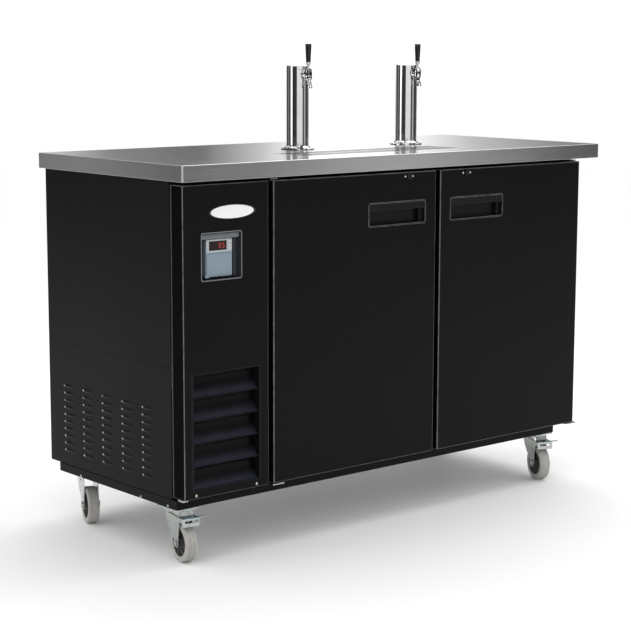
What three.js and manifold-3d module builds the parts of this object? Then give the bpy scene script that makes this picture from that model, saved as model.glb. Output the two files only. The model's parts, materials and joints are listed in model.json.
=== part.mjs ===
// A two-door direct-draw beer dispenser on casters: an insulated keg cabinet with a machine bay at its
// left end, a stainless worktop with a drip tray, and two single-tap towers.
//
// Millimetres, +Z up, the front faces -Y and the machine bay is at -X. The origin is on the floor under
// the centre of the worktop. Each piece is its own closed mesh, and pieces that touch on the real
// machine are kept `fit` apart here.

import * as THREE from 'three';
import { mergeVertices } from 'three/addons/utils/BufferGeometryUtils.js';
import Module from 'manifold-3d';

const wasm = await Module();
wasm.setup();

// ---------------------------------------------------------------------------------------------------
// Driving dimensions
// ---------------------------------------------------------------------------------------------------

const fit = 0.3; // gap between pieces that rest on each other or are cut by each other
const sheet = 2; // sheet-metal thickness

// Worktop
const topWidth = 1550;
const topDepth = 665;
const topThickness = 40;
const overhangLeft = 5; // past the body's left side
const overhangRight = 74; // past the body's right side
const overhangFront = 10; // past the door faces
const overhangBack = 27; // past the body's back

// Stack from the floor up
const casterHead = 38.4; // wheel's top to the plinth the caster is bolted under
const plinthHeight = 25;
const bodyHeight = 813;

// Insulated cabinet
const wall = 40;
const plinthInsetRight = 52; // plinth's end to the body's right side
const plinthInsetBack = 43; // plinth's back to the body's back
const plinthRail = 104; // width of the plinth's rails, which carry the casters
const plinthProud = 20; // plinth's front ahead of the cabinet's front frame
const mullionDepth = 40;

// Front: a control panel and two doors in one plane
const frontThickness = 48;
const gasketGap = 4; // between the doors' backs and the cabinet's front frame
const panelInset = 2; // control panel's end in from the body's left side
const panelWidth = 272;
const frontGap = 17; // between the panel and the doors
const doorClearTop = 10;
const doorClearBottom = 5;

// Doors
const hingeInset = 12; // hinge axis in from the door's edge
const hingePinRadius = 4;
const pinClearance = 0.4;
const pinDepth = 9; // how far a hinge pin reaches into the door
const bracketThickness = 3;
const bracketHalf = 11; // half the bracket's width
const bracketGap = 1; // between a bracket and the door's end
const pullWidth = 215;
const pullHeight = 67;
const pullDepth = 24;
const pullFromEdge = 38; // pull's side to the door's free edge
const pullFromTop = 78; // pull's top edge to the door's top
const pullWall = 4;
const pullProud = 1;
const lockRadius = 8;
const lockFromEdge = 103;
const lockFromTop = 12;
const lockLength = 22;
const lockProud = 3;
const keywayWidth = 1.6;
const keywayLength = 8;
const gasketWidth = 12;

// Control panel
const windowWidth = 127;
const windowHeight = 120;
const windowLeft = 57; // window's side to the panel's left end
const windowFromTop = 122;
const windowDepth = 28;
const controllerWidth = 83;
const controllerHeight = 95;
const controllerSetBack = 11; // controller's face behind the panel's face
const controllerFromBottom = 7;
const displayFromSide = 9;
const displayFromTop = 4;
const displayHeight = 25;
const keyStrip = 17; // width left for the keys beside the display
const keyWellDepth = 7;
const buttonSize = 6;
const buttonPitch = 8.5;
const buttonProud = 1.6;
const buttonTravel = 1;
const buttonClearance = 0.4;
const badgeWidth = 148;
const badgeHeight = 37;
const badgeFromTop = 72; // badge's centre below the panel's top
const badgeThickness = 1.5;
const badgeOffset = 19; // badge's centre towards the doors from the panel's middle
const grilleSide = 22; // grille opening's side to the panel's end
const grilleHeight = 306;
const grilleFromBottom = 18;
const grilleBorder = 8;
const grilleDepth = 30;
const bladeCount = 5;
const bladeThickness = 2.5;
const bladeFromBack = 8; // blades' back edges ahead of the frame's back
const bladeFromFront = 3; // blades' front edges behind the frame's face
const bladeCover = 0.8; // a blade's height as a share of the pitch

// Vents in the sheet-metal side and back of the machine bay
const ventFromFront = 40; // least distance from a slot to the side's front edge
const ventRows = 10;
const ventColumnPitch = 93;
const ventRowPitch = 20;
const ventLength = 42;
const ventHeight = 6;
const ventFromBottom = 41; // lowest row above the side's bottom edge
const rearVentInset = 60; // rear slots' ends in from the rear cover's sides
const ventFromBack = 78; // first column's back end in from the side's back edge

// Mains inlet in the rear cover
const inletWidth = 52;
const inletHeight = 40;
const inletFromTop = 120; // inlet's middle below the body's top

// Drip tray
const trayWidth = 610;
const trayLength = 145; // front to back
const trayDepth = 25;
const trayFromFront = 100; // tray's front rim to the worktop's front edge
const trayRim = 10;
const gridThickness = 3;
const gridBar = 7; // width of each bar and of each slot
const gridSlotLength = 58;
const gridSlotGap = 12; // bar between the grid's two rows of slots
const drainRadius = 11;
const drainWall = 2;

// Towers, placed from the worktop's left end and front edge
const towerXs = [655, 1076];
const towerFromFront = 345;
const columnRadius = 31.75;
const lineBore = 22; // room for the beer line inside the column
const columnHeight = 235;
const flangeRadius = 48;
const flangeHeight = 9;
const towerBore = 27; // beer-line bore up through the worktop and the column
const faucetStandoff = 15.25; // handle axis in front of the column's surface
const faucetHeight = 210; // shank's axis above the worktop
const handleLength = 51;
const handleTopRadius = 9;
const handleBottomRadius = 6.5;
const handleLift = 34; // black grip's bottom above the shank's axis
const leverBall = 4;
const leverPivot = faucetHeight + 17; // lever's ball centre above the worktop
const faucetReach = columnRadius + faucetStandoff; // handle axis in front of the column's axis

// Refrigeration
const condenserWidth = 200;
const condenserHeight = 220;
const condenserDepth = 44;
const condenserSetBack = 20; // condenser's face behind the cabinet's front edge
const compressorRadius = 82;
const compressorSetBack = 230; // compressor's axis behind the condenser's back
const footReach = 95; // compressor's feet to each side of its axis
const footHeight = 14;
const evaporatorWidth = 320;
const evaporatorDepth = 150;
const evaporatorHeight = 120;
const ductRadius = 48;

// Casters
const wheelRadius = 50.8;
const wheelWidth = 32;
const axleRadius = 6;
const wheelBoreClearance = 0.5;
const casterTrail = 35; // axle in front of the swivel's axis
const legThickness = 3;
const legClearance = 2.5; // between the wheel and each leg
const plateWidth = 72;
const plateLength = 92;
const plateThickness = 4;
const swivelGap = 1; // between the plate and the turning crown
const crownThickness = 4;
const casterInsetRearLeft = 24; // the rear left caster stands this much further in
const casterTurns = { front_left: -11, front_right: -22, rear_left: -21, rear_right: -12 }; // degrees

// ---------------------------------------------------------------------------------------------------
// Derived places
// ---------------------------------------------------------------------------------------------------

const topLeft = -topWidth / 2;
const topRight = topWidth / 2;
const topFront = -topDepth / 2;
const topBack = topDepth / 2;

const bodyLeft = topLeft + overhangLeft;
const bodyRight = topRight - overhangRight;
const doorFace = topFront + overhangFront;
const doorBack = doorFace + frontThickness;
const bodyFront = doorBack + gasketGap;
const bodyBack = topBack - overhangBack;

const plinthBottom = 2 * wheelRadius + casterHead;
const bodyBottom = plinthBottom + plinthHeight;
const bodyTop = bodyBottom + bodyHeight;
const topSurface = bodyTop + topThickness;
const doorBottom = bodyBottom + doorClearBottom;
const doorTop = bodyTop - doorClearTop;

const plinthRight = bodyRight - plinthInsetRight;
const plinthFront = bodyFront - plinthProud;
const plinthBack = bodyBack - plinthInsetBack;

const panelLeft = bodyLeft + panelInset;
const panelRight = panelLeft + panelWidth;
const doorsLeft = panelRight + frontGap;
const doorWidth = (bodyRight - doorsLeft - frontGap) / 2;
const doorSpans = {
  left: [doorsLeft, doorsLeft + doorWidth],
  right: [doorsLeft + doorWidth + frontGap, bodyRight],
};

// The partition and the mullion stand behind the middles of the two gaps in the front.
const partitionX = [panelRight + frontGap / 2 - wall / 2, panelRight + frontGap / 2 + wall / 2];
const mullionMiddle = doorSpans.left[1] + frontGap / 2;
const bayMiddle = (bodyLeft + sheet + partitionX[0]) / 2;
const inletMiddleZ = bodyTop - inletFromTop;
const kegFloor = bodyBottom + wall;
const kegCeiling = bodyTop - wall;

const trayX = [-trayWidth / 2, trayWidth / 2];
const trayY = [topFront + trayFromFront, topFront + trayFromFront + trayLength];
const drainPlace = [0, (trayY[0] + trayY[1]) / 2];
const towerPlaces = towerXs.map((x) => [topLeft + x, topFront + towerFromFront]);

// ---------------------------------------------------------------------------------------------------
// Materials
// ---------------------------------------------------------------------------------------------------

function material(color, roughness, metalness) {
  return new THREE.MeshStandardMaterial({ color, roughness, metalness });
}

const blackPaint = () => material(0x1c1c1c, 0.45, 0.1);
const blackPlastic = () => material(0x17191c, 0.5, 0);
const brushedSteel = () => material(0xb4b4b6, 0.32, 1);
const innerSheet = () => material(0xc9ccce, 0.4, 0.9);
const chrome = () => material(0xdadada, 0.08, 1);
const zinc = () => material(0xa9b0b0, 0.35, 0.9);
const greyRubber = () => material(0xb5b3ad, 0.75, 0);
const board = () => material(0x8a6f4e, 0.8, 0);

// ---------------------------------------------------------------------------------------------------
// Shape helpers
// ---------------------------------------------------------------------------------------------------

const object = new THREE.Group();

function addPiece(name, geometry, finish, parent = object) {
  const mesh = new THREE.Mesh(geometry, finish);
  mesh.name = name;
  parent.add(mesh);
  return mesh;
}

// A box between two corners, given as [low, high] along each axis.
function box(x, y, z) {
  const shape = new THREE.BoxGeometry(x[1] - x[0], y[1] - y[0], z[1] - z[0]);
  return shape.translate((x[0] + x[1]) / 2, (y[0] + y[1]) / 2, (z[0] + z[1]) / 2);
}

// An upright cylinder or cone on [x, y] between two heights.
function rod(place, z, bottomRadius, topRadius = bottomRadius, sides = 24) {
  const shape = new THREE.CylinderGeometry(topRadius, bottomRadius, z[1] - z[0], sides);
  return shape.rotateX(Math.PI / 2).translate(place[0], place[1], (z[0] + z[1]) / 2);
}

// A cylinder lying along X or Y, centred on `middle` = [x, y, z].
function barrel(axis, middle, length, radius, sides = 16) {
  const shape = new THREE.CylinderGeometry(radius, radius, length, sides);
  if (axis === 'x') shape.rotateZ(Math.PI / 2);
  return shape.translate(...middle);
}

// A solid of revolution about Z from [radius, height] points.
function turned(profile, sides = 24) {
  const points = profile.map(([radius, height]) => new THREE.Vector2(radius, height));
  return new THREE.LatheGeometry(points, sides).rotateX(Math.PI / 2);
}

// A flat outline extruded along +Z.
function extruded(outline, depth, curveSegments = 8) {
  return new THREE.ExtrudeGeometry(outline, { depth, bevelEnabled: false, curveSegments });
}

// The outline of a rectangle with rounded corners, about its own centre.
function roundedRectangle(width, height, radius) {
  const outline = new THREE.Shape();
  const right = width / 2;
  const top = height / 2;
  const left = -right;
  const bottom = -top;
  outline.moveTo(left + radius, bottom);
  outline.lineTo(right - radius, bottom);
  outline.absarc(right - radius, bottom + radius, radius, -Math.PI / 2, 0);
  outline.lineTo(right, top - radius);
  outline.absarc(right - radius, top - radius, radius, 0, Math.PI / 2);
  outline.lineTo(left + radius, top);
  outline.absarc(left + radius, top - radius, radius, Math.PI / 2, Math.PI);
  outline.lineTo(left, bottom + radius);
  outline.absarc(left + radius, bottom + radius, radius, Math.PI, Math.PI * 1.5);
  outline.closePath();
  return outline;
}

function toSolid(shape) {
  const bare = shape.index ? shape.toNonIndexed() : shape.clone();
  bare.deleteAttribute('normal');
  bare.deleteAttribute('uv');
  const merged = mergeVertices(bare, 1e-4);
  const mesh = new wasm.Mesh({
    numProp: 3,
    vertProperties: new Float32Array(merged.attributes.position.array),
    triVerts: new Uint32Array(merged.index.array),
  });
  return new wasm.Manifold(mesh);
}

function toShape(solid) {
  const mesh = solid.getMesh();
  const shape = new THREE.BufferGeometry();
  shape.setAttribute('position', new THREE.BufferAttribute(mesh.vertProperties, 3));
  shape.setIndex(new THREE.BufferAttribute(mesh.triVerts, 1));
  shape.computeVertexNormals();
  return shape;
}

function joined(...shapes) {
  const solids = shapes.map(toSolid);
  return toShape(solids.slice(1).reduce((whole, next) => whole.add(next), solids[0]));
}

function cut(shape, ...tools) {
  return toShape(tools.map(toSolid).reduce((rest, tool) => rest.subtract(tool), toSolid(shape)));
}

// A low-high pair shrunk at both ends.
const inset = ([low, high], by) => [low + by, high - by];

const past = 5; // how far a cutting tool runs past what it cuts

// ---------------------------------------------------------------------------------------------------
// Cabinet
// ---------------------------------------------------------------------------------------------------

function buildCabinet() {
  const bodyZ = [bodyBottom, bodyTop - fit];
  const insideX = [bodyLeft + sheet + fit, bodyRight - wall - fit];
  const insideY = [bodyFront, bodyBack - wall - fit];
  const kegX = [partitionX[1] + fit, bodyRight - wall - fit];
  const kegZ = [kegFloor + fit, kegCeiling - fit];

  const plinthX = [bodyLeft, plinthRight];
  const plinthY = [plinthFront, plinthBack];
  const plinthHole = box(inset(plinthX, plinthRail), inset(plinthY, plinthRail), [0, bodyTop]);
  const plinth = cut(box(plinthX, plinthY, [plinthBottom, bodyBottom - fit]), plinthHole);
  addPiece('base_frame', plinth, blackPaint());

  addPiece('floor_slab', box(insideX, insideY, [bodyBottom, kegFloor]), innerSheet());
  const rightX = [bodyRight - wall, bodyRight];
  addPiece('side_wall_right', box(rightX, [bodyFront, bodyBack], bodyZ), blackPaint());
  const backX = [partitionX[0], bodyRight - wall - fit];
  addPiece('back_wall', box(backX, [bodyBack - wall, bodyBack], bodyZ), blackPaint());
  addPiece('partition_wall', box(partitionX, insideY, kegZ), innerSheet());
  const mullionX = [mullionMiddle - wall / 2, mullionMiddle + wall / 2];
  addPiece('centre_mullion', box(mullionX, [bodyFront, bodyFront + mullionDepth], kegZ), innerSheet());

  const towerHoles = towerPlaces.map((place) => rod(place, [0, topSurface], towerBore));
  const drainHole = rod(drainPlace, [0, topSurface], drainRadius + drainWall + fit);
  const ceiling = box(insideX, insideY, [kegCeiling, bodyTop - fit]);
  addPiece('ceiling_slab', cut(ceiling, ...towerHoles, drainHole), innerSheet());
  return { kegX, kegZ };
}

// The sheet-metal side of the machine bay, with short horizontal vent slots in a grid.
function buildVentedSide() {
  const slots = [];
  const columnRoom = bodyBack - bodyFront - ventFromBack - ventLength - ventFromFront;
  const columns = Math.floor(columnRoom / ventColumnPitch) + 1;
  for (let column = 0; column < columns; column += 1) {
    const slotBack = bodyBack - ventFromBack - column * ventColumnPitch;
    for (let row = 0; row < ventRows; row += 1) {
      const middle = bodyBottom + ventFromBottom + row * ventRowPitch;
      const z = [middle - ventHeight / 2, middle + ventHeight / 2];
      slots.push(box([bodyLeft - past, bodyLeft + past], [slotBack - ventLength, slotBack], z));
    }
  }
  const panel = box([bodyLeft, bodyLeft + sheet], [bodyFront, bodyBack], [bodyBottom, bodyTop - fit]);
  addPiece('side_panel_left', cut(panel, ...slots), blackPaint());
}

// The removable sheet over the back of the machine bay.
function buildRearCover() {
  const x = [bodyLeft + sheet + fit, partitionX[0] - fit];
  const slots = [];
  for (let row = 0; row < ventRows; row += 1) {
    const middle = bodyBottom + ventFromBottom + row * ventRowPitch;
    const z = [middle - ventHeight / 2, middle + ventHeight / 2];
    slots.push(box(inset(x, rearVentInset), [bodyBack - past, bodyBack + past], z));
  }
  const cover = box(x, [bodyBack - sheet, bodyBack], [bodyBottom, bodyTop - fit]);
  const inletHole = box(
    [bayMiddle - inletWidth / 2 - fit, bayMiddle + inletWidth / 2 + fit],
    [bodyBack - past, bodyBack + past],
    [inletMiddleZ - inletHeight / 2 - fit, inletMiddleZ + inletHeight / 2 + fit],
  );
  addPiece('rear_cover', cut(cover, ...slots, inletHole), blackPaint());
}

// ---------------------------------------------------------------------------------------------------
// Worktop, drip tray and drain
// ---------------------------------------------------------------------------------------------------

function buildWorktop() {
  const trayHole = box(trayX, trayY, [0, topSurface + past]);
  const holes = towerPlaces.map((place) => rod(place, [0, topSurface + past], towerBore));
  const cornerRadius = 4;
  const outline = roundedRectangle(topWidth, topDepth, cornerRadius);
  const slab = extruded(outline, topThickness, 4).translate(0, 0, bodyTop);
  const hollow = box(
    inset([topLeft, topRight], sheet),
    inset([topFront, topBack], sheet),
    [0, topSurface - sheet],
  );
  addPiece('worktop_skin', cut(slab, hollow, trayHole, ...holes), brushedSteel());

  const core = box(
    inset([topLeft, topRight], sheet + fit),
    inset([topFront, topBack], sheet + fit),
    [bodyTop, topSurface - sheet - fit],
  );
  addPiece('worktop_core', cut(core, trayHole, ...holes), board());
}

function buildDripTray() {
  const outerX = inset(trayX, fit);
  const outerY = inset(trayY, fit);
  const trayBottom = topSurface - trayDepth - sheet;
  const ledge = topSurface - gridThickness - fit;
  const pan = box(outerX, outerY, [trayBottom, topSurface]);
  const gridSeat = box(inset(outerX, sheet), inset(outerY, sheet), [ledge, topSurface + past]);
  const well = box(inset(outerX, trayRim), inset(outerY, trayRim), [trayBottom + sheet, topSurface]);
  const drain = rod(drainPlace, [0, topSurface], drainRadius);
  addPiece('drip_tray', cut(pan, gridSeat, well, drain), brushedSteel());

  // The grid drops into the seat and is lifted out by hand.
  const gridX = inset(outerX, sheet + fit);
  const gridY = inset(outerY, sheet + fit);
  const gridZ = [ledge + fit, ledge + fit + gridThickness];
  const slotPitch = gridBar * 2;
  const slotCount = Math.floor((gridX[1] - gridX[0] - 2 * trayRim) / slotPitch);
  const middleY = (gridY[0] + gridY[1]) / 2;
  const slotRows = [
    [middleY - gridSlotGap / 2 - gridSlotLength, middleY - gridSlotGap / 2],
    [middleY + gridSlotGap / 2, middleY + gridSlotGap / 2 + gridSlotLength],
  ];
  const slots = [];
  for (let index = 0; index < slotCount; index += 1) {
    const x = (index - (slotCount - 1) / 2) * slotPitch;
    for (const y of slotRows) {
      slots.push(box([x - gridBar / 2, x + gridBar / 2], y, inset(gridZ, -past)));
    }
  }
  addPiece('drip_grid', cut(box(gridX, gridY, gridZ), ...slots), brushedSteel());

  // The drain pipe hangs from the tray, through the ceiling, and bends to the back wall.
  const pipeTop = trayBottom - fit;
  const bendZ = kegCeiling - 50;
  const bendRadius = 45;
  const wallFace = bodyBack - wall - 2 * fit;
  const [drainX, drainY] = drainPlace;
  const bendStart = new THREE.Vector3(drainX, drainY, bendZ + bendRadius);
  const bendCorner = new THREE.Vector3(drainX, drainY, bendZ);
  const bendEnd = new THREE.Vector3(drainX, drainY + bendRadius, bendZ);
  const route = new THREE.CurvePath();
  route.add(new THREE.LineCurve3(new THREE.Vector3(drainX, drainY, pipeTop), bendStart));
  route.add(new THREE.QuadraticBezierCurve3(bendStart, bendCorner, bendEnd));
  route.add(new THREE.LineCurve3(bendEnd, new THREE.Vector3(drainX, wallFace, bendZ)));
  const section = new THREE.Shape();
  section.absarc(0, 0, drainRadius + drainWall, 0, Math.PI * 2);
  const bore = new THREE.Path();
  bore.absarc(0, 0, drainRadius, 0, Math.PI * 2, true);
  section.holes = [bore];
  const pipe = new THREE.ExtrudeGeometry(section, { steps: 16, curveSegments: 3, extrudePath: route });
  addPiece('drain_tube', toShape(toSolid(pipe)), blackPlastic());
}

// ---------------------------------------------------------------------------------------------------
// Control panel
// ---------------------------------------------------------------------------------------------------

const windowX = [panelLeft + windowLeft, panelLeft + windowLeft + windowWidth];
const windowZ = [doorTop - windowFromTop - windowHeight, doorTop - windowFromTop];
const grilleX = inset([panelLeft, panelRight], grilleSide);
const grilleZ = [doorBottom + grilleFromBottom, doorBottom + grilleFromBottom + grilleHeight];

function buildControlPanel() {
  const outer = box([panelLeft, panelRight], [doorFace, doorBack], [doorBottom, doorTop]);
  const hollow = box(
    inset([panelLeft, panelRight], sheet),
    [doorFace + sheet, doorBack + past],
    inset([doorBottom, doorTop], sheet),
  );
  const pocketY = [doorFace, doorFace + windowDepth + sheet];
  const pocket = box(inset(windowX, -sheet), pocketY, inset(windowZ, -sheet));
  const window = box(windowX, [doorFace - past, doorFace + windowDepth], windowZ);
  const grilleHole = box(grilleX, [doorFace - past, doorFace + past], grilleZ);
  const shell = joined(cut(outer, hollow), pocket);
  addPiece('control_panel', cut(shell, window, grilleHole), blackPaint());

  const badgeOutline = new THREE.Shape();
  badgeOutline.absellipse(0, 0, badgeWidth / 2, badgeHeight / 2, 0, Math.PI * 2);
  const badge = extruded(badgeOutline, badgeThickness, 10).rotateX(Math.PI / 2);
  const badgeMesh = addPiece('badge_plate', badge, material(0xf2f2f2, 0.3, 0));
  const badgeX = (panelLeft + panelRight) / 2 + badgeOffset;
  badgeMesh.position.set(badgeX, doorFace - fit, doorTop - badgeFromTop);
}

// Hollow-faced blades span a frame. Each is a scoop whose level lip points forward.
function buildGrille() {
  const frameY = [doorFace + sheet / 2, doorFace + grilleDepth];
  const frameHole = box(
    inset(grilleX, grilleBorder),
    inset(frameY, -past),
    inset(grilleZ, grilleBorder / 2),
  );
  const frame = cut(box(inset(grilleX, fit), frameY, inset(grilleZ, fit)), frameHole);
  const pitch = (grilleHeight - grilleBorder) / bladeCount;
  const bladeHeight = pitch * bladeCover;
  const bladeReach = grilleDepth - bladeFromBack;
  const bladeX = inset(grilleX, grilleBorder / 2);

  // A quarter of an ellipse seen from the end: level at its front edge and upright at its back edge.
  const outline = new THREE.Shape();
  const hollow = bladeReach - bladeThickness;
  outline.moveTo(hollow, bladeHeight);
  outline.quadraticCurveTo(hollow, bladeThickness, 0, bladeThickness);
  outline.lineTo(0, 0);
  outline.quadraticCurveTo(bladeReach, 0, bladeReach, bladeHeight);
  outline.closePath();

  const blades = [];
  for (let index = 0; index < bladeCount; index += 1) {
    const blade = extruded(outline, bladeX[1] - bladeX[0], 6).rotateX(Math.PI / 2).rotateZ(Math.PI / 2);
    const z = grilleZ[0] + grilleBorder / 2 + 1 + index * pitch;
    blades.push(blade.translate(bladeX[0], frameY[0] + bladeFromFront, z));
  }
  addPiece('louvre_grille', joined(frame, ...blades), blackPlastic());
}

function buildController() {
  const middleX = (windowX[0] + windowX[1]) / 2;
  const x = [middleX - controllerWidth / 2, middleX + controllerWidth / 2];
  const z = [windowZ[0] + controllerFromBottom, windowZ[0] + controllerFromBottom + controllerHeight];
  const face = doorFace + controllerSetBack;
  const back = doorFace + windowDepth - fit;

  const displayX = [x[0] + displayFromSide, x[1] - keyStrip];
  const displayZ = [z[1] - displayFromTop - displayHeight, z[1] - displayFromTop];
  const display = box(displayX, [face - past, face + sheet], displayZ);
  const buttonX = (displayX[1] + x[1]) / 2;
  const buttonZ = (displayZ[0] + displayZ[1]) / 2;
  const wells = [];
  const wellY = [face - past, face + keyWellDepth];
  const names = ['button_up', 'button_set', 'button_down'];
  names.forEach((name, index) => {
    const middle = buttonZ + (1 - index) * buttonPitch;
    const half = buttonSize / 2;
    const across = [buttonX - half, buttonX + half];
    const up = [middle - half, middle + half];
    const deep = [face - buttonProud, wellY[1] - buttonTravel - fit];
    wells.push(box(inset(across, -buttonClearance), wellY, inset(up, -buttonClearance)));
    addPiece(name, box(across, deep, up), material(0xd8dadb, 0.4, 0));
  });
  const body = box(x, [face, back], z);
  addPiece('controller_box', cut(body, display, ...wells), material(0x74838c, 0.5, 0));
}

// ---------------------------------------------------------------------------------------------------
// Doors
// ---------------------------------------------------------------------------------------------------

// side is -1 for the door hinged on its left edge and +1 for the one hinged on its right edge.
function buildDoor(name, span, side) {
  const freeEdge = side < 0 ? span[1] : span[0];
  const hingeX = side < 0 ? span[0] + hingeInset : span[1] - hingeInset;
  const hingeY = (doorFace + doorBack) / 2;
  const z = [doorBottom, doorTop];

  const pullMiddle = freeEdge + side * (pullFromEdge + pullWidth / 2);
  const pullX = [pullMiddle - pullWidth / 2, pullMiddle + pullWidth / 2];
  const pullZ = [doorTop - pullFromTop - pullHeight, doorTop - pullFromTop];
  const pullHole = box(pullX, [doorFace - past, doorFace + pullDepth], pullZ);

  const lockX = freeEdge + side * lockFromEdge;
  const lockZ = doorTop - lockFromTop;
  const lockHole = barrel('y', [lockX, doorFace, lockZ], 2 * (lockLength + fit), lockRadius + fit);

  // Each end of the door turns on a short pin.
  const pinHole = (end) => rod([hingeX, hingeY], end, hingePinRadius + pinClearance);
  const topPinHole = pinHole([doorTop - pinDepth - 1, doorTop + past]);
  const bottomPinHole = pinHole([doorBottom - past, doorBottom + pinDepth + 1]);
  const slab = box(span, [doorFace, doorBack], z);
  const door = cut(slab, pullHole, lockHole, topPinHole, bottomPinHole);
  addPiece(`${name}_panel`, door, blackPaint());

  // The gasket starts beside the hinge axis, so that it never swings back into the cabinet.
  const hingeSide = hingeInset + 4;
  const freeSide = 6;
  const gasketX = side < 0
    ? [span[0] + hingeSide, span[1] - freeSide]
    : [span[0] + freeSide, span[1] - hingeSide];
  const gasketY = [doorBack + fit, bodyFront - fit];
  const gasketZ = inset(z, hingeSide);
  const gasket = cut(
    box(gasketX, gasketY, gasketZ),
    box(inset(gasketX, gasketWidth), [doorBack - past, bodyFront + past], inset(gasketZ, gasketWidth)),
  );
  addPiece(`${name}_gasket`, gasket, material(0x3a3a3c, 0.8, 0));

  // The pull is a moulded cup with a lip across the top third of its mouth to hook the fingers behind.
  const cupX = inset(pullX, fit);
  const cupZ = inset(pullZ, fit);
  const cupY = [doorFace - pullProud, doorFace + pullDepth - fit];
  const lipHeight = pullHeight / 3;
  const hollowX = inset(cupX, pullWall);
  const hollowBottom = cupZ[0] + pullWall;
  const mouth = box(hollowX, [cupY[0] - past, cupY[1] - sheet], [hollowBottom, cupZ[1] - lipHeight]);
  const behindLip = box(hollowX, [cupY[0] + pullWall, cupY[1] - sheet], [hollowBottom, cupZ[1] - sheet]);
  addPiece(`${name}_pull`, cut(box(cupX, cupY, cupZ), joined(mouth, behindLip)), blackPlastic());

  const lockMiddle = [lockX, doorFace - lockProud + lockLength / 2, lockZ];
  const plug = barrel('y', lockMiddle, lockLength, lockRadius - fit);
  const keyway = box(
    [lockX - keywayWidth / 2, lockX + keywayWidth / 2],
    [doorFace - past, doorFace + keywayLength / 2],
    [lockZ - keywayLength / 2, lockZ + keywayLength / 2],
  );
  addPiece(`${name}_lock`, cut(plug, keyway), chrome());

  buildHinges(name, hingeX, hingeY);
}

// A flat bracket above and below the door, fixed to the front frame, carries the door's pin.
function buildHinges(name, hingeX, hingeY) {
  const x = [hingeX - bracketHalf, hingeX + bracketHalf];
  const y = [hingeY - bracketHalf, bodyFront - fit];
  const makeBracket = (end, armZ, pinZ) => {
    const pin = rod([hingeX, hingeY], pinZ, hingePinRadius, hingePinRadius, 16);
    addPiece(`${name}_${end}_hinge`, joined(box(x, y, armZ), pin), zinc());
  };
  const topArm = [doorTop + bracketGap, doorTop + bracketGap + bracketThickness];
  makeBracket('top', topArm, [doorTop - pinDepth, topArm[1]]);
  const bottomArm = [doorBottom - bracketGap - bracketThickness, doorBottom - bracketGap];
  makeBracket('bottom', bottomArm, [bottomArm[0], doorBottom + pinDepth]);
}

// ---------------------------------------------------------------------------------------------------
// Towers and faucets
// ---------------------------------------------------------------------------------------------------

function buildTower(name, place) {
  const tower = new THREE.Group();
  tower.position.set(place[0], place[1], topSurface + fit);
  object.add(tower);

  const capThickness = 4;
  const shankRadius = 8;
  const column = turned([
    [lineBore, 0],
    [flangeRadius, 0],
    [flangeRadius, 2.5],
    [flangeRadius - 4, 5],
    [columnRadius + 3, flangeHeight],
    [columnRadius, flangeHeight + 2],
    [columnRadius, columnHeight - 3],
    [columnRadius - 2.5, columnHeight],
    [0, columnHeight],
    [0, columnHeight - capThickness],
    [lineBore, columnHeight - capThickness],
    [lineBore, 0],
  ]);
  const wallMiddle = -(columnRadius + lineBore) / 2;
  const wallSpan = columnRadius - lineBore + 2 * past;
  const shankHole = barrel('y', [0, wallMiddle, faucetHeight], wallSpan, shankRadius + fit);
  addPiece(`${name}_column`, cut(column, shankHole), chrome(), tower);

  // Faucet: shank through the column's wall, coupling nut, upright body, and a spout bent forward.
  const bodyRadius = 10;
  const nutRadius = 14;
  const shank = barrel('y', [0, -faucetReach / 2 - 8, faucetHeight], faucetReach - 16, shankRadius);
  const nutMiddle = -(columnRadius + 1 + 5);
  const nut = barrel('y', [0, nutMiddle, faucetHeight], 10, nutRadius);
  const front = [0, -faucetReach];
  const body = rod(front, [faucetHeight - 12, faucetHeight + 11], bodyRadius);
  const bonnet = rod(front, [faucetHeight + 11, faucetHeight + 19], 9, 7);
  const collar = rod(front, [faucetHeight - 17, faucetHeight - 12], 8, bodyRadius);
  const spoutRoute = new THREE.CatmullRomCurve3([
    new THREE.Vector3(0, -faucetReach, faucetHeight - 13),
    new THREE.Vector3(0, -faucetReach - 2, faucetHeight - 19),
    new THREE.Vector3(0, -faucetReach - 6, faucetHeight - 27),
    new THREE.Vector3(0, -faucetReach - 7, faucetHeight - 34),
  ]);
  const spoutSection = new THREE.Shape();
  spoutSection.absarc(0, 0, 7, 0, Math.PI * 2);
  const spout = new THREE.ExtrudeGeometry(spoutSection, {
    steps: 5,
    curveSegments: 4,
    extrudePath: spoutRoute,
  });
  const outlet = rod([0, -faucetReach - 7], [faucetHeight - 38, faucetHeight - 29], 5);
  // The lever's ball sits in a socket at the top of the bonnet.
  const socket = new THREE.SphereGeometry(leverBall + 0.5, 14, 8).translate(0, -faucetReach, leverPivot);
  const mouth = rod(front, [leverPivot, faucetHeight + 23], leverBall + 0.5, leverBall + 4);
  const faucet = cut(joined(shank, nut, body, bonnet, collar, spout), outlet, socket, mouth);
  addPiece(`${name}_faucet`, faucet, chrome(), tower);

  // Handle: a lever with a ball end, a chrome ferrule and a tapered black grip.
  const gripBottom = faucetHeight + handleLift;
  const gripTop = gripBottom + handleLength;
  const ball = new THREE.SphereGeometry(leverBall, 14, 8).translate(0, -faucetReach, leverPivot);
  const lever = rod(front, [leverPivot, gripBottom - 8], 3, 3, 16);
  const ferrule = turned([
    [0, gripBottom - 9],
    [4.5, gripBottom - 9],
    [handleBottomRadius, gripBottom - 5],
    [handleBottomRadius, gripBottom + 1],
    [0, gripBottom + 1],
  ], 20).translate(0, -faucetReach, 0);
  const grip = rod(front, [gripBottom, gripTop], handleBottomRadius, handleTopRadius, 20);
  addPiece(`${name}_handle`, joined(ball, lever, ferrule, grip), blackPlastic(), tower);
}

// ---------------------------------------------------------------------------------------------------
// Refrigeration
// ---------------------------------------------------------------------------------------------------

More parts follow.
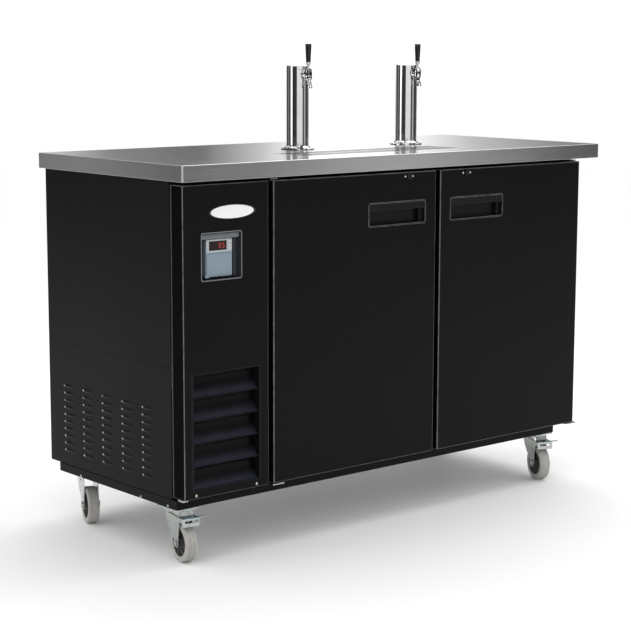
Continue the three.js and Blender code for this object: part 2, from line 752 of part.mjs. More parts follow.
function fanBlades(radius, hubRadius, depth, count) {
  const shapes = [barrel('y', [0, 0, 0], depth, hubRadius)];
  for (let index = 0; index < count; index += 1) {
    const blade = box([hubRadius - 3, radius], [-1, 1], [-radius * 0.28, radius * 0.28]);
    blade.rotateX(THREE.MathUtils.degToRad(24));
    blade.rotateY((index * 2 * Math.PI) / count);
    shapes.push(blade);
  }
  return joined(...shapes);
}

function buildMachineBay() {
  const deck = kegFloor + fit;

  const condenserY = [bodyFront + condenserSetBack, bodyFront + condenserSetBack + condenserDepth];
  const condenserX = [bayMiddle - condenserWidth / 2, bayMiddle + condenserWidth / 2];
  const condenserZ = [deck, deck + condenserHeight];
  const fins = [];
  const finCount = 12;
  const finPitch = condenserWidth / finCount;
  for (let index = 0; index < finCount; index += 1) {
    const x = condenserX[0] + (index + 0.5) * finPitch;
    fins.push(box([x - 4, x + 4], [condenserY[0] - past, condenserY[0] + 8], inset(condenserZ, 10)));
  }
  const block = box(condenserX, condenserY, condenserZ);
  addPiece('condenser', cut(block, ...fins), material(0x8f9294, 0.5, 0.8));

  // A shroud behind the condenser rings the fan, and a bar across its back holds the motor.
  const fanRadius = condenserWidth / 2 - 16;
  const fanDepth = 22;
  const shroudDepth = 40;
  const hubRadius = 22;
  const fanMiddle = [bayMiddle, condenserY[1] + 18, (condenserZ[0] + condenserZ[1]) / 2];
  const shroudY = [condenserY[1] + fit, condenserY[1] + fit + shroudDepth];
  const bore = barrel('y', fanMiddle, 4 * shroudDepth, fanRadius + 8, 32);
  const shroud = cut(box(condenserX, shroudY, condenserZ), bore);
  const barY = [shroudY[1] - 6, shroudY[1] - 2];
  const bar = box(inset(condenserX, 2), barY, [fanMiddle[2] - 12, fanMiddle[2] + 12]);
  const motor = barrel('y', [bayMiddle, barY[1] + 20, fanMiddle[2]], 44, hubRadius + 6);
  addPiece('fan_shroud', joined(shroud, bar, motor), blackPaint());
  const fan = addPiece('condenser_fan', fanBlades(fanRadius, hubRadius, fanDepth, 4), blackPlastic());
  fan.position.set(...fanMiddle);

  const dome = turned([
    [0, 0],
    [compressorRadius - 10, 0],
    [compressorRadius, 14],
    [compressorRadius, 96],
    [compressorRadius - 14, 138],
    [compressorRadius - 44, 158],
    [0, 164],
  ]);
  const feet = box([-footReach, footReach], [-60, 60], [-footHeight, 0.5]);
  const compressor = addPiece('compressor', joined(dome, feet), blackPaint());
  compressor.position.set(bayMiddle, condenserY[1] + compressorSetBack, deck + footHeight);

  // The mains inlet is clipped through the rear cover, with its flange inside.
  const flangeOverlap = 4;
  const inlet = joined(
    box([-inletWidth / 2, inletWidth / 2], [-26, sheet + fit], [-inletHeight / 2, inletHeight / 2]),
    box(
      inset([-inletWidth / 2, inletWidth / 2], -flangeOverlap),
      [-3, 0],
      inset([-inletHeight / 2, inletHeight / 2], -flangeOverlap),
    ),
  );
  const socket = box([-14, 14], [-12, past], [-9, 9]);
  const power = addPiece('power_inlet', cut(inlet, socket), blackPlastic());
  power.position.set(bayMiddle, bodyBack - sheet - fit, inletMiddleZ);
}

function buildEvaporator({ kegX, kegZ }) {
  const back = bodyBack - wall - 2 * fit;
  const x = [kegX[0] + fit, kegX[0] + fit + evaporatorWidth];
  const y = [back - evaporatorDepth, back];
  const z = [kegZ[1] - fit - evaporatorHeight, kegZ[1] - fit];
  const middle = [(x[0] + x[1]) / 2, y[0], (z[0] + z[1]) / 2];
  const shell = box(x, y, z);
  const duct = barrel('y', [middle[0], y[0], middle[2]], 80, ductRadius);
  const returnSlots = [-1, 1].map((side) => {
    const centre = middle[0] + side * 110;
    return box([centre - 30, centre + 30], [y[0] - past, y[0] + 30], inset(z, 25));
  });
  addPiece('evaporator_housing', cut(shell, duct, ...returnSlots), innerSheet());

  const fan = addPiece('evaporator_fan', fanBlades(ductRadius - 5, 14, 16, 5), blackPlastic());
  fan.position.set(middle[0], y[0] + 18, middle[2]);
}

// ---------------------------------------------------------------------------------------------------
// Casters
// ---------------------------------------------------------------------------------------------------

const axleHeight = wheelRadius;
const plateBottom = plinthBottom - fit - plateThickness;
const crownTop = plateBottom - swivelGap;
const legInside = wheelWidth / 2 + legClearance;
const legOutside = legInside + legThickness;

// A leg seen from the side: wide under the crown, narrowing to a round end about the axle. The outline's
// X runs from the swivel's axis towards the axle.
function legOutline() {
  const endRadius = 12;
  const outline = new THREE.Shape();
  outline.moveTo(-34, crownTop);
  outline.quadraticCurveTo(-32, crownTop - 40, casterTrail - endRadius, axleHeight + 4);
  outline.absarc(casterTrail, axleHeight, endRadius, Math.PI * 0.9, Math.PI * 2);
  outline.lineTo(casterTrail + endRadius, crownTop - 22);
  outline.lineTo(casterTrail + endRadius - 6, crownTop);
  outline.closePath();
  return outline;
}

// The wheel trails towards -Y in the caster's own frame.
function buildCaster(name, place, turn, hasBrake) {
  const plate = addPiece(
    `${name}_plate`,
    box([-plateWidth / 2, plateWidth / 2], [-plateLength / 2, plateLength / 2], [0, plateThickness]),
    zinc(),
  );
  plate.position.set(place[0], place[1], plateBottom);

  const caster = new THREE.Group();
  caster.position.set(place[0], place[1], 0);
  caster.rotation.z = turn;
  object.add(caster);

  const makeLeg = (low) => extruded(legOutline(), legThickness, 6)
    .rotateX(Math.PI / 2)
    .rotateZ(-Math.PI / 2)
    .translate(low, 0, 0);
  const legs = [makeLeg(-legOutside + legThickness), makeLeg(legInside + legThickness)];
  const crownDisc = rod([0, 0], [crownTop - crownThickness, crownTop], 30);
  const crown = box(
    [-legOutside, legOutside],
    [-casterTrail - 6, 30],
    [crownTop - crownThickness, crownTop],
  );
  const axle = barrel('x', [0, -casterTrail, axleHeight], 2 * legOutside + 8, axleRadius);
  const boltHead = barrel('x', [0, -casterTrail, axleHeight], 2 * legOutside + 8, 9);
  const heads = cut(boltHead, box([-legOutside, legOutside], [-100, 100], [0, 200]));
  const [leftHead, rightHead] = toSolid(heads).decompose().map(toShape);
  const fork = joined(crown, crownDisc, ...legs, axle, leftHead, rightHead);
  addPiece(`${name}_fork`, fork, zinc(), caster);

  const bore = axleRadius + wheelBoreClearance;
  const half = wheelWidth / 2;
  const wheelShape = turned([
    [bore, -half],
    [14, -half],
    [16, -half + 4],
    [32, -half + 4],
    [35, -half],
    [wheelRadius - 4, -half],
    [wheelRadius, -half + 6],
    [wheelRadius, half - 6],
    [wheelRadius - 4, half],
    [35, half],
    [32, half - 4],
    [16, half - 4],
    [14, half],
    [bore, half],
    [bore, -half],
  ], 28).rotateY(Math.PI / 2);
  const wheel = addPiece(`${name}_wheel`, wheelShape, greyRubber(), caster);
  wheel.position.set(0, -casterTrail, axleHeight);

  if (hasBrake) buildBrakePedal(name, caster);
}

// A pressed cover over the wheel with a slotted lip at its front and a thin lever at its side.
function buildBrakePedal(name, caster) {
  const halfWidth = legOutside + fit + 2.5;
  const hinge = crownTop - 16;
  const coverTop = hinge + 4;
  const coverFront = -casterTrail - wheelRadius + 10;
  const cover = box([-halfWidth, halfWidth], [coverFront, -casterTrail - 14], [coverTop - 2.5, coverTop]);
  const lip = box([-halfWidth, halfWidth], [coverFront - 2.5, coverFront], [coverTop - 22, coverTop]);
  const slotX = [-halfWidth + 8, halfWidth - 5];
  const lipSlot = box(slotX, [coverFront - past, coverFront + past], [coverTop - 12, coverTop - 6]);
  const cheeks = [-1, 1].map((side) => {
    const outer = side * halfWidth;
    const inner = side * (halfWidth - 2.2);
    const x = outer < inner ? [outer, inner] : [inner, outer];
    return box(x, [coverFront, 8], [coverTop - 12, coverTop]);
  });
  const tabX = [halfWidth - 1, halfWidth + 22];
  const tab = box(tabX, [coverFront + 4, coverFront + 12], [coverTop - 2.5, coverTop]);
  addPiece(`${name}_brake`, joined(cut(joined(cover, lip), lipSlot), ...cheeks, tab), zinc(), caster);
}

function buildCasters() {
  const halfWidth = plateWidth / 2;
  const halfLength = plateLength / 2;
  const left = bodyLeft + halfWidth;
  const right = plinthRight - halfWidth;
  const front = plinthFront + halfLength;
  const back = plinthBack - halfLength;
  const places = {
    front_left: [left, front],
    front_right: [right, front],
    rear_left: [left + casterInsetRearLeft, back],
    rear_right: [right, back],
  };
  for (const [corner, place] of Object.entries(places)) {
    const turn = THREE.MathUtils.degToRad(casterTurns[corner]);
    buildCaster(`caster_${corner}`, place, turn, corner.startsWith('front'));
  }
}

// ---------------------------------------------------------------------------------------------------
// Assembly
// ---------------------------------------------------------------------------------------------------

const kegSpace = buildCabinet();
buildVentedSide();
buildRearCover();
buildWorktop();
buildDripTray();
buildControlPanel();
buildGrille();
buildController();
buildDoor('door_left', doorSpans.left, -1);
buildDoor('door_right', doorSpans.right, 1);
buildTower('tower_left', towerPlaces[0]);
buildTower('tower_right', towerPlaces[1]);
buildMachineBay();
buildEvaporator(kegSpace);
buildCasters();

export default object;
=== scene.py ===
# %% [markdown]
# # A two-door beer dispenser
#
# The engineering model of this dispenser is already made: its walls, doors, casters and taps have their
# real sizes and joints. This lesson gives it its looks. Each step says what a piece is on the real
# machine, how it could be modelled, and why it is modelled the way it is here.
#
# The first step loads that model as a fixed frame. Every new piece takes its size and place from it.

# %% Load the frame
import json
import math

import bmesh
import bpy
from mathutils import Matrix, Vector


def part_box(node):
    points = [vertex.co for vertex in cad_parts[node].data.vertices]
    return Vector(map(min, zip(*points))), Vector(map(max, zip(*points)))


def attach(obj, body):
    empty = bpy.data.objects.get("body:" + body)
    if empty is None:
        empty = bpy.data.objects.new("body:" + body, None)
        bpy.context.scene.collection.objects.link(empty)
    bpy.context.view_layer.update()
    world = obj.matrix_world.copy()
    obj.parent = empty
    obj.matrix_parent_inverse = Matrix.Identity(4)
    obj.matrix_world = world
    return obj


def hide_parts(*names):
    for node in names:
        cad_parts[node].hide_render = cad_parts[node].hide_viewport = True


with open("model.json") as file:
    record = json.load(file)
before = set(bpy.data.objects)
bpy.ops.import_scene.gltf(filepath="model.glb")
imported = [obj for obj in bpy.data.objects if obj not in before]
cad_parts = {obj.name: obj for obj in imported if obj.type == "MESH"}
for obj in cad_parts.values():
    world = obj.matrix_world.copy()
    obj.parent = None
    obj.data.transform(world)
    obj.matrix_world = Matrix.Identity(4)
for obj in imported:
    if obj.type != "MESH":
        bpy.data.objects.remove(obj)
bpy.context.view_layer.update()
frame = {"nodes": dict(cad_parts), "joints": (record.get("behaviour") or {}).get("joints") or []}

mm = 0.001

# %% [markdown]
# ## Camera
#
# A long lens from far away keeps the upright edges of a cabinet nearly parallel. The camera stands off
# the machine's front left corner, a little above the worktop, and tips down until the floor is in view.

# %% Camera
camera_place = (-3.281, -3.778, 1.315)
camera_turn = 40.41  # degrees clockwise from looking straight at the back
camera_dip = 8.91
camera_roll = 0.15
camera_data = bpy.data.cameras.new("camera")
camera_data.lens = 99.1
camera = bpy.data.objects.new("camera", camera_data)
camera.location = camera_place
camera.rotation_euler = [math.radians(angle) for angle in (90 - camera_dip, -camera_roll, -camera_turn)]
bpy.context.scene.collection.objects.link(camera)
bpy.context.scene.camera = camera
print("camera lens", camera_data.lens, "mm")

# %% [markdown]
# ## Shader arithmetic
#
# Materials here are made of nodes. Wiring nodes by hand hides the idea of a pattern, so a small class
# wraps a socket and lets ordinary Python sums add the Math nodes: `1 - mask * 0.3` is two nodes and
# reads as one line. Every other node comes from one method that takes its type, its settings and what
# goes into its sockets.

# %% Sockets that can be added and multiplied
class Value:
    """One number of a node tree. Sums with it add Math nodes."""

    def __init__(self, shader, socket):
        self.shader = shader
        self.socket = socket

    def math(self, operation, first, second):
        node = self.shader.node("Math", {"operation": operation, "use_clamp": False}, {0: first, 1: second})
        return Value(self.shader, node.outputs[0])

    def __add__(self, other):
        return self.math("ADD", self, other)

    def __mul__(self, other):
        return self.math("MULTIPLY", self, other)

    def __sub__(self, other):
        return self.math("SUBTRACT", self, other)

    def __rsub__(self, other):
        return self.math("SUBTRACT", other, self)

    def __truediv__(self, other):
        return self.math("DIVIDE", self, other)

    def __pow__(self, other):
        return self.math("POWER", self, other)

    def __gt__(self, other):
        return self.math("GREATER_THAN", self, other)

    def __lt__(self, other):
        return self.math("LESS_THAN", self, other)

    __radd__ = __add__
    __rmul__ = __mul__


# %% A material that is built line by line
class Shader:
    """A material with one Principled surface, and short ways to add patterns to it."""

    def __init__(self, name, slot):
        self.material = bpy.data.materials.new(name)
        self.material.use_nodes = True
        self.slot = slot
        self.tree = self.material.node_tree
        self.tree.nodes.clear()
        self.surface = self.node("BsdfPrincipled")
        self.node("OutputMaterial", inputs={"Surface": self.surface.outputs[0]})
        self.place = self.node("TexCoord").outputs["Object"]

    def node(self, kind, settings=None, inputs=None):
        made = self.tree.nodes.new("ShaderNode" + kind)
        for key, value in (settings or {}).items():
            if key == "stops":
                self.set_stops(made.color_ramp, value)
            else:
                setattr(made, key, value)
        for key, value in (inputs or {}).items():
            self.feed(made.inputs[key], value)
        return made

    def set_stops(self, ramp, stops):
        while len(ramp.elements) < len(stops):
            ramp.elements.new(0.5)
        for element, (position, colour) in zip(ramp.elements, stops):
            element.position = position
            element.color = (*colour, 1)

    def feed(self, socket, value):
        if isinstance(value, Value):
            value = value.socket
        if isinstance(value, bpy.types.NodeSocket):
            self.tree.links.new(value, socket)
        elif isinstance(value, (tuple, list)) and len(value) == 3 and socket.type == "RGBA":
            socket.default_value = (*value, 1)
        else:
            socket.default_value = value

    def stretched(self, scale):
        """Object coordinates, squeezed or stretched along each axis."""
        return self.node("Mapping", None, {"Vector": self.place, "Scale": scale}).outputs[0]

    def noise(self, scale, detail=2, stretch=(1, 1, 1), distortion=0):
        inputs = {"Vector": self.stretched(stretch), "Scale": scale, "Detail": detail}
        inputs["Distortion"] = distortion
        return Value(self, self.node("TexNoise", None, inputs).outputs[0])

    def cells(self, scale, feature="F1", stretch=(1, 1, 1)):
        inputs = {"Vector": self.stretched(stretch), "Scale": scale}
        node = self.node("TexVoronoi", {"feature": feature}, inputs)
        return Value(self, node.outputs["Distance"])

    def waves(self, axis, scale, distortion=0.0):
        """Even bands across one axis."""
        inputs = {"Vector": self.place, "Scale": scale, "Distortion": distortion}
        return Value(self, self.node("TexWave", {"bands_direction": axis}, inputs).outputs["Fac"])

    def along(self, axis):
        """The object coordinate along one axis, in metres."""
        split = self.node("SeparateXYZ", None, {0: self.place})
        return Value(self, split.outputs["XYZ".index(axis)])

    def between(self, value, low, high, start=0.0, end=1.0):
        """value mapped from low..high to start..end, and held there outside it."""
        inputs = {0: value, 1: low, 2: high, 3: start, 4: end}
        return Value(self, self.node("MapRange", {"clamp": True}, inputs).outputs[0])

    def math_of(self, operation, value):
        """A Math node that needs only one number."""
        return value.math(operation, value, 0.0)

    def blend(self, factor, first, second):
        """A colour that goes from first to second."""
        inputs = {0: factor, 6: first, 7: second}
        return self.node("Mix", {"data_type": "RGBA"}, inputs).outputs[2]

    def bump(self, height, depth, strength=1.0, below=None):
        """A normal that follows height, which is worth depth metres where it is 1."""
        inputs = {"Height": height, "Distance": depth, "Strength": strength}
        if below is not None:
            inputs["Normal"] = below
        return self.node("Bump", None, inputs).outputs[0]

    def finish(self, **looks):
        """Sets the surface's sockets, named in small letters with _ for a space."""
        for name, value in looks.items():
            words = name.split("_")
            label = " ".join(word.upper() if word == "ior" else word.capitalize() for word in words)
            self.feed(self.surface.inputs[label], value)
        print("finish", self.material.name, "with", len(self.tree.nodes), "nodes")
        return self


# %% [markdown]
# ## Studio
#
# The machine stands on a plain pale floor under soft light. Black paint and steel show mostly what they
# reflect, so this step is about what stands around the machine. The world and one broad softbox give an
# even white. Steel would vanish in it, so gradient cards stand where each steel face looks, as they do in
# a photographer's studio. A card glows a little, brighter in one part than in the others, and only
# mirrors and shiny surfaces see it.

# %% Floor
def link(name, data):
    made = bpy.data.objects.new(name, data)
    bpy.context.scene.collection.objects.link(made)
    return made


floor_mesh = bpy.data.meshes.new("floor")
floor_bm = bmesh.new()
bmesh.ops.create_circle(floor_bm, cap_ends=True, radius=60, segments=96)
bmesh.ops.translate(floor_bm, verts=floor_bm.verts, vec=(0, 0, -0.2 * mm))
floor_bm.to_mesh(floor_mesh)
floor_bm.free()
floor = link("floor", floor_mesh)
floor_paint = Shader("floor_paint", None)
floor_cloud = floor_paint.noise(1.5, 3)
floor_paint.finish(
    base_color=floor_paint.blend(floor_cloud, (0.895, 0.895, 0.895), (0.92, 0.92, 0.92)),
    roughness=0.7,
    specular_ior_level=0.2,
)
floor_mesh.materials.append(floor_paint.material)
print("floor radius 60 m")

# %% World and lamps
world = bpy.data.worlds.new("studio")
bpy.context.scene.world = world
world.use_nodes = True
world_glow = world.node_tree.nodes["Background"].inputs
world_glow["Color"].default_value = (1, 1, 1, 1)
world_glow["Strength"].default_value = 1.1
bpy.context.scene.view_settings.view_transform = "Standard"


def add_panel_light(name, place, target, size, power):
    """A soft rectangular light at place that faces target."""
    data = bpy.data.lights.new(name, "AREA")
    data.shape = "RECTANGLE"
    data.size, data.size_y = size
    data.energy = power
    lamp = link(name, data)
    lamp.location = place
    lamp.rotation_euler = (Vector(target) - Vector(place)).to_track_quat("-Z", "Y").to_euler()
    return lamp


machine_middle = (0, 0, 0.7)
add_panel_light("softbox", (1.3, 0.5, 3.5), machine_middle, (3.6, 3.0), 60)
add_panel_light("left_panel", (-4.6, 1.1, 1.8), machine_middle, (0.9, 2.4), 12)
print("two lamps and a bright world")


# %% Gradient cards
def add_card(name, place, turn, size, glow):
    """An upright card whose glow follows (position, strength) pairs from its left to its right."""
    width, height = size
    shape = Matrix.Translation(place) @ Matrix.Rotation(math.radians(turn), 4, "Z")
    bm = bmesh.new()
    bmesh.ops.create_grid(bm, x_segments=24, y_segments=4, size=0.5)
    upright = Matrix.Rotation(math.pi / 2, 4, "X") @ Matrix.Diagonal((width, height, 1, 1))
    bmesh.ops.transform(bm, matrix=upright, verts=bm.verts)
    mesh = bpy.data.meshes.new(name)
    bm.to_mesh(mesh)
    bm.free()
    card = link(name, mesh)
    card.matrix_world = shape
    card.visible_camera = False
    card.visible_diffuse = False
    card.visible_shadow = False
    look = Shader(name + "_glow", None)
    across = look.between(look.along("X"), -width / 2, width / 2)
    stops = [(position, (strength,) * 3) for position, strength in glow]
    ramp = look.node("ValToRGB", {"stops": stops}, {"Fac": across}).outputs[0]
    look.finish(base_color=(0, 0, 0), specular_ior_level=0.0, emission_color=ramp, emission_strength=1.0)
    mesh.materials.append(look.material)


add_card("card_for_fascia", (3.6, -4.0, 1.7), 0, (5.6, 3.9), [
    (0.0, 0.06), (0.19, 0.12), (0.33, 0.38), (0.46, 0.80),
    (0.61, 0.32), (0.76, 0.03), (1.0, 0.02),
])
add_card("card_for_end", (-4.0, 4.3, 1.7), 90, (5.2, 3.9), [
    (0.0, 0.15), (0.30, 0.07), (0.45, 0.06), (0.58, 0.30), (0.74, 0.80), (1.0, 0.75),
])
add_card("card_for_top", (2.8, 3.0, 2.3), 0, (5.2, 4.2), [
    (0.0, 0.90), (0.12, 0.80), (0.20, 0.25), (0.30, 0.12), (0.37, 0.6),
    (0.46, 1.7), (0.56, 1.3), (0.66, 0.6), (0.80, 0.25), (1.0, 0.15),
])
add_card("card_for_columns", (-5.6, -2.15, 2.3), -69, (5.0, 5.0), [(0.0, 0.03), (0.7, 0.05), (1.0, 0.12)])
add_card("card_behind", (-2.3, 5.6, 2.3), 0, (5.0, 5.0), [(0.0, 0.10), (0.5, 0.06), (1.0, 0.09)])
add_card("card_right", (6.3, -0.6, 2.3), 90, (6.6, 5.0), [(0.0, 0.10), (0.3, 0.03), (0.6, 0.16), (1.0, 0.08)])
print("six gradient cards")

# %% [markdown]
# ## Finishes
#
# Each finish is a short recipe. A real surface is never one flat colour: paint has orange peel, steel
# has brushing, plated parts have stains. The patterns read Object coordinates, which are metres on this
# machine, so a noise scale of 1000 is a grain of about a millimetre.

# %% Satin black powder coat
black_paint = Shader("black_powder_coat", "black_paint")
peel = black_paint.noise(420, 3)
dust = black_paint.noise(3.0, 4)
black_paint.finish(
    base_color=black_paint.blend(dust, (0.0030, 0.0030, 0.0031), (0.0050, 0.0048, 0.0046)),
    roughness=black_paint.between(dust, 0.3, 0.7, 0.34, 0.44),
    normal=black_paint.bump(peel, 0.05 * mm, 0.35),
    specular_ior_level=0.085,
)

# %% [markdown]
# Every bend is painted a little lighter and glossier than the flat beside it, a painted highlight along the
# fold. A side return gets the opposite, a darker flat coat that is painted shade.

# %% Painted highlights on bends and painted shade on returns
def edge_finish(name, slot, low, high, specular, roughness):
    """A copy of the paint for painted highlights and painted shade, whose tone wanders between two greys."""
    edge = Shader(name, slot)
    tone_drift = edge.noise(45, 4)
    edge.finish(
        base_color=edge.blend(edge.between(tone_drift, 0.35, 0.65), (low,) * 3, (high,) * 3),
        roughness=edge.between(tone_drift, 0.3, 0.7, roughness, roughness + 0.1),
        specular_ior_level=specular,
    )
    return edge


def mottled(name, slot, scale, low, high, roughness, detail=3, **looks):
    """A finish whose colour and roughness drift together between two values."""
    plain = Shader(name, slot)
    drift = plain.noise(scale, detail)
    if isinstance(roughness, tuple):
        roughness = plain.between(drift, 0.3, 0.7, *roughness)
    return plain.finish(base_color=plain.blend(drift, low, high), roughness=roughness, **looks)


# The bend finish is a painted highlight, and the return finish is painted shade.
bend_highlight_paint = edge_finish("powder_coat_bend", "black_paint", 0.06, 0.13, 0.5, 0.26)
# The louvre finish is a slightly lighter paint, a painted sheen on the blisters; the glint finish is a painted
# highlight on their rear ends.
louvre_sheen_paint = edge_finish("powder_coat_louvre", "black_paint", 0.005, 0.009, 0.12, 0.36)
lanced_edge = edge_finish("lanced_edge", "black_paint", 0.16, 0.40, 0.5, 0.25)
return_shade_paint = edge_finish("powder_coat_return", "black_paint", 0.0012, 0.0022, 0.02, 0.5)

# %% [markdown]
# Brushed steel is scratched one way only. Noise stretched along the brushing gives the lines: it feeds
# the roughness and a very shallow bump, and a slow cloud on top keeps the sheet from looking printed.

# %% Brushed stainless steel
def brushed_steel_finish(name, lines, colour, roughness, relief=0.25):
    """Steel whose brushing runs along the axis where lines is small."""
    steel = Shader(name, "brushed_steel")
    scratch = steel.noise(500, 3, stretch=lines)
    cloud = steel.noise(2.2, 3)
    low, high = roughness
    steel.finish(
        base_color=steel.blend(scratch * 0.5 + cloud * 0.5, [c * 0.84 for c in colour], colour),
        metallic=1.0,
        roughness=steel.between(scratch * 0.6 + cloud * 0.4, 0.3, 0.7, low, high),
        normal=steel.bump(scratch, 0.01 * mm, relief),
    )
    return steel


lengthwise = (0.008, 1, 1)
crosswise = (1, 0.008, 1)
top_steel = brushed_steel_finish("steel_lengthwise", lengthwise, (0.60, 0.60, 0.61), (0.17, 0.25), 0.12)
end_steel = brushed_steel_finish("steel_crosswise", crosswise, (0.58, 0.58, 0.59), (0.19, 0.23), 0.0)
# The bend steel is paler than the sheet: a painted highlight along the folds.
bend_highlight_steel = brushed_steel_finish("steel_bend", lengthwise, (0.97, 0.97, 0.97), (0.10, 0.16))
tray_steel = brushed_steel_finish("tray_steel", (0.05, 1, 1), (0.72, 0.72, 0.73), (0.22, 0.34))
grid_steel = brushed_steel_finish("grid_steel", (1, 0.05, 1), (0.46, 0.46, 0.47), (0.20, 0.32))
pan_steel = brushed_steel_finish("shaded_pan_steel", (0.05, 1, 1), (0.10, 0.10, 0.10), (0.35, 0.5))

# %% Chrome
chrome = Shader("polished_chrome", "chrome")
smear = chrome.noise(26, 4)
chrome.finish(
    base_color=chrome.blend(smear, (0.60, 0.60, 0.62), (0.74, 0.74, 0.75)),
    metallic=1.0,
    roughness=chrome.between(smear, 0.35, 0.75, 0.035, 0.10),
)

# %% [markdown]
# Small turned parts are polished by hand, and their tight curves break the room up into light and dark
# patches. A coarse noise with hard steps paints such patches into the faucet's and the column foot's colour:
# painted reflections.

# %% Chrome with painted reflections
faucet_chrome = Shader("hand_polished_chrome", "chrome")
painted_reflection = faucet_chrome.noise(105, 1, distortion=0.8)
faucet_chrome.finish(
    base_color=faucet_chrome.blend(
        faucet_chrome.between(painted_reflection, 0.44, 0.56), (0.05, 0.05, 0.052), (0.93, 0.93, 0.94)
    ),
    metallic=1.0,
    roughness=faucet_chrome.between(painted_reflection, 0.3, 0.7, 0.09, 0.03),
)

# %% [markdown]
# Caster steel is zinc plated and passivated: a bright metal with a faint blue-green and straw tint that
# drifts over each pressing, and small matt patches where the plating is thin.

# %% Zinc plate
zinc = Shader("zinc_plate", "zinc")
drift = zinc.noise(38, 3, distortion=1.2)
patch = zinc.noise(240, 4)
tint = zinc.node(
    "ValToRGB",
    {"stops": [(0.30, (0.34, 0.42, 0.43)), (0.48, (0.50, 0.52, 0.51)), (0.68, (0.50, 0.50, 0.43))]},
    {"Fac": drift},
).outputs[0]
zinc.finish(
    base_color=zinc.blend(zinc.between(patch, 0.55, 0.75, 0, 0.6), tint, (0.30, 0.32, 0.32)),
    metallic=1.0,
    roughness=zinc.between(patch, 0.3, 0.7, 0.16, 0.34),
    normal=zinc.bump(patch, 0.05 * mm, 0.3),
)
blue_zinc = Shader("blue_passivate", "zinc")
blue_drift = blue_zinc.noise(45, 3, distortion=1.5)
blue_tint = blue_zinc.node(
    "ValToRGB",
    {"stops": [(0.35, (0.16, 0.36, 0.42)), (0.50, (0.36, 0.47, 0.50)), (0.66, (0.56, 0.57, 0.55))]},
    {"Fac": blue_drift},
).outputs[0]
blue_zinc.finish(
    base_color=blue_tint,
    metallic=1.0,
    roughness=blue_zinc.between(blue_zinc.noise(200, 3), 0.3, 0.7, 0.14, 0.28),
)

# %% Moulded black plastic
black_plastic = Shader("moulded_black_plastic", "black_plastic")
grain = black_plastic.cells(1500, "F1")
haze = black_plastic.noise(30, 3)
black_plastic.finish(
    base_color=black_plastic.blend(haze, (0.0040, 0.0042, 0.0052), (0.0080, 0.0085, 0.0105)),
    roughness=black_plastic.between(haze, 0.3, 0.7, 0.36, 0.48),
    normal=black_plastic.bump(grain, 0.06 * mm, 0.35),
    specular_ior_level=0.14,
)
# The rim finish is a paler grey, a painted highlight on the pull's round rim.
pull_rim_highlight = edge_finish("moulded_plastic_rim", "black_plastic", 0.08, 0.17, 0.5, 0.25)
grip_black = mottled(
    "glossy_grip", "black_plastic", 60, (0.003, 0.003, 0.003), (0.007, 0.007, 0.007), (0.06, 0.12),
    specular_ior_level=0.45,
)
# Black oxide on the lock; on the drip grid's slot walls the same dark metal is painted shade.
oxide_and_slot_shade_metal = mottled(
    "black_oxide", "chrome", 150, (0.030, 0.030, 0.032), (0.060, 0.060, 0.062), (0.25, 0.4), metallic=1.0,
)

# %% Polyurethane tyre and hub
tread = Shader("grey_polyurethane", "grey_tread")
scuff = tread.noise(90, 5)
soil = tread.noise(14, 4)
grime = tread.between(scuff * 0.4 + soil * 0.6, 0.35, 0.75)
tread.finish(
    base_color=tread.blend(grime, (0.42, 0.41, 0.385), (0.31, 0.30, 0.28)),
    roughness=tread.between(scuff, 0.3, 0.7, 0.5, 0.7),
    normal=tread.bump(scuff, 0.12 * mm, 0.3),
)
hub = Shader("moulded_hub", "grey_tread")
hub_grain = hub.noise(500, 3)
hub.finish(
    base_color=hub.blend(hub.noise(40, 3), (0.020, 0.019, 0.018), (0.050, 0.047, 0.043)),
    roughness=0.45,
    specular_ior_level=0.3,
    normal=hub.bump(hub_grain, 0.1 * mm, 0.4),
)

# %% Rubber gasket
gasket_rubber = mottled(
    "gasket_rubber", "gasket_rubber", 60, (0.035, 0.035, 0.037), (0.075, 0.075, 0.078), (0.6, 0.8), detail=4,
)

# %% Badge enamel and its rim
enamel = Shader("white_enamel", "badge_white")
ripple = enamel.noise(60, 2)
enamel.finish(
    base_color=enamel.blend(ripple, (0.80, 0.80, 0.80), (0.88, 0.88, 0.88)),
    roughness=0.18,
    coat_weight=enamel.between(ripple, 0.2, 0.8, 0.5, 0.8),
    normal=enamel.bump(ripple, 0.02 * mm, 0.3),
)
rim_black = mottled("rim_black", "badge_white", 200, (0.012,) * 3, (0.03,) * 3, 0.35, detail=2)

# %% Controller plastics and display
def moulded(name, slot, colour, roughness, grain_size=1600):
    """A moulded plastic: a fine grain and a slight drift in its colour."""
    plastic = Shader(name, slot)
    fine = plastic.noise(grain_size, 2)
    slow = plastic.noise(50, 3)
    plastic.finish(
        base_color=plastic.blend(slow, [c * 0.9 for c in colour], [c * 1.08 for c in colour]),
        roughness=plastic.between(slow, 0.3, 0.7, roughness - 0.05, roughness + 0.06),
        normal=plastic.bump(fine, 0.05 * mm, 0.3),
    )
    return plastic


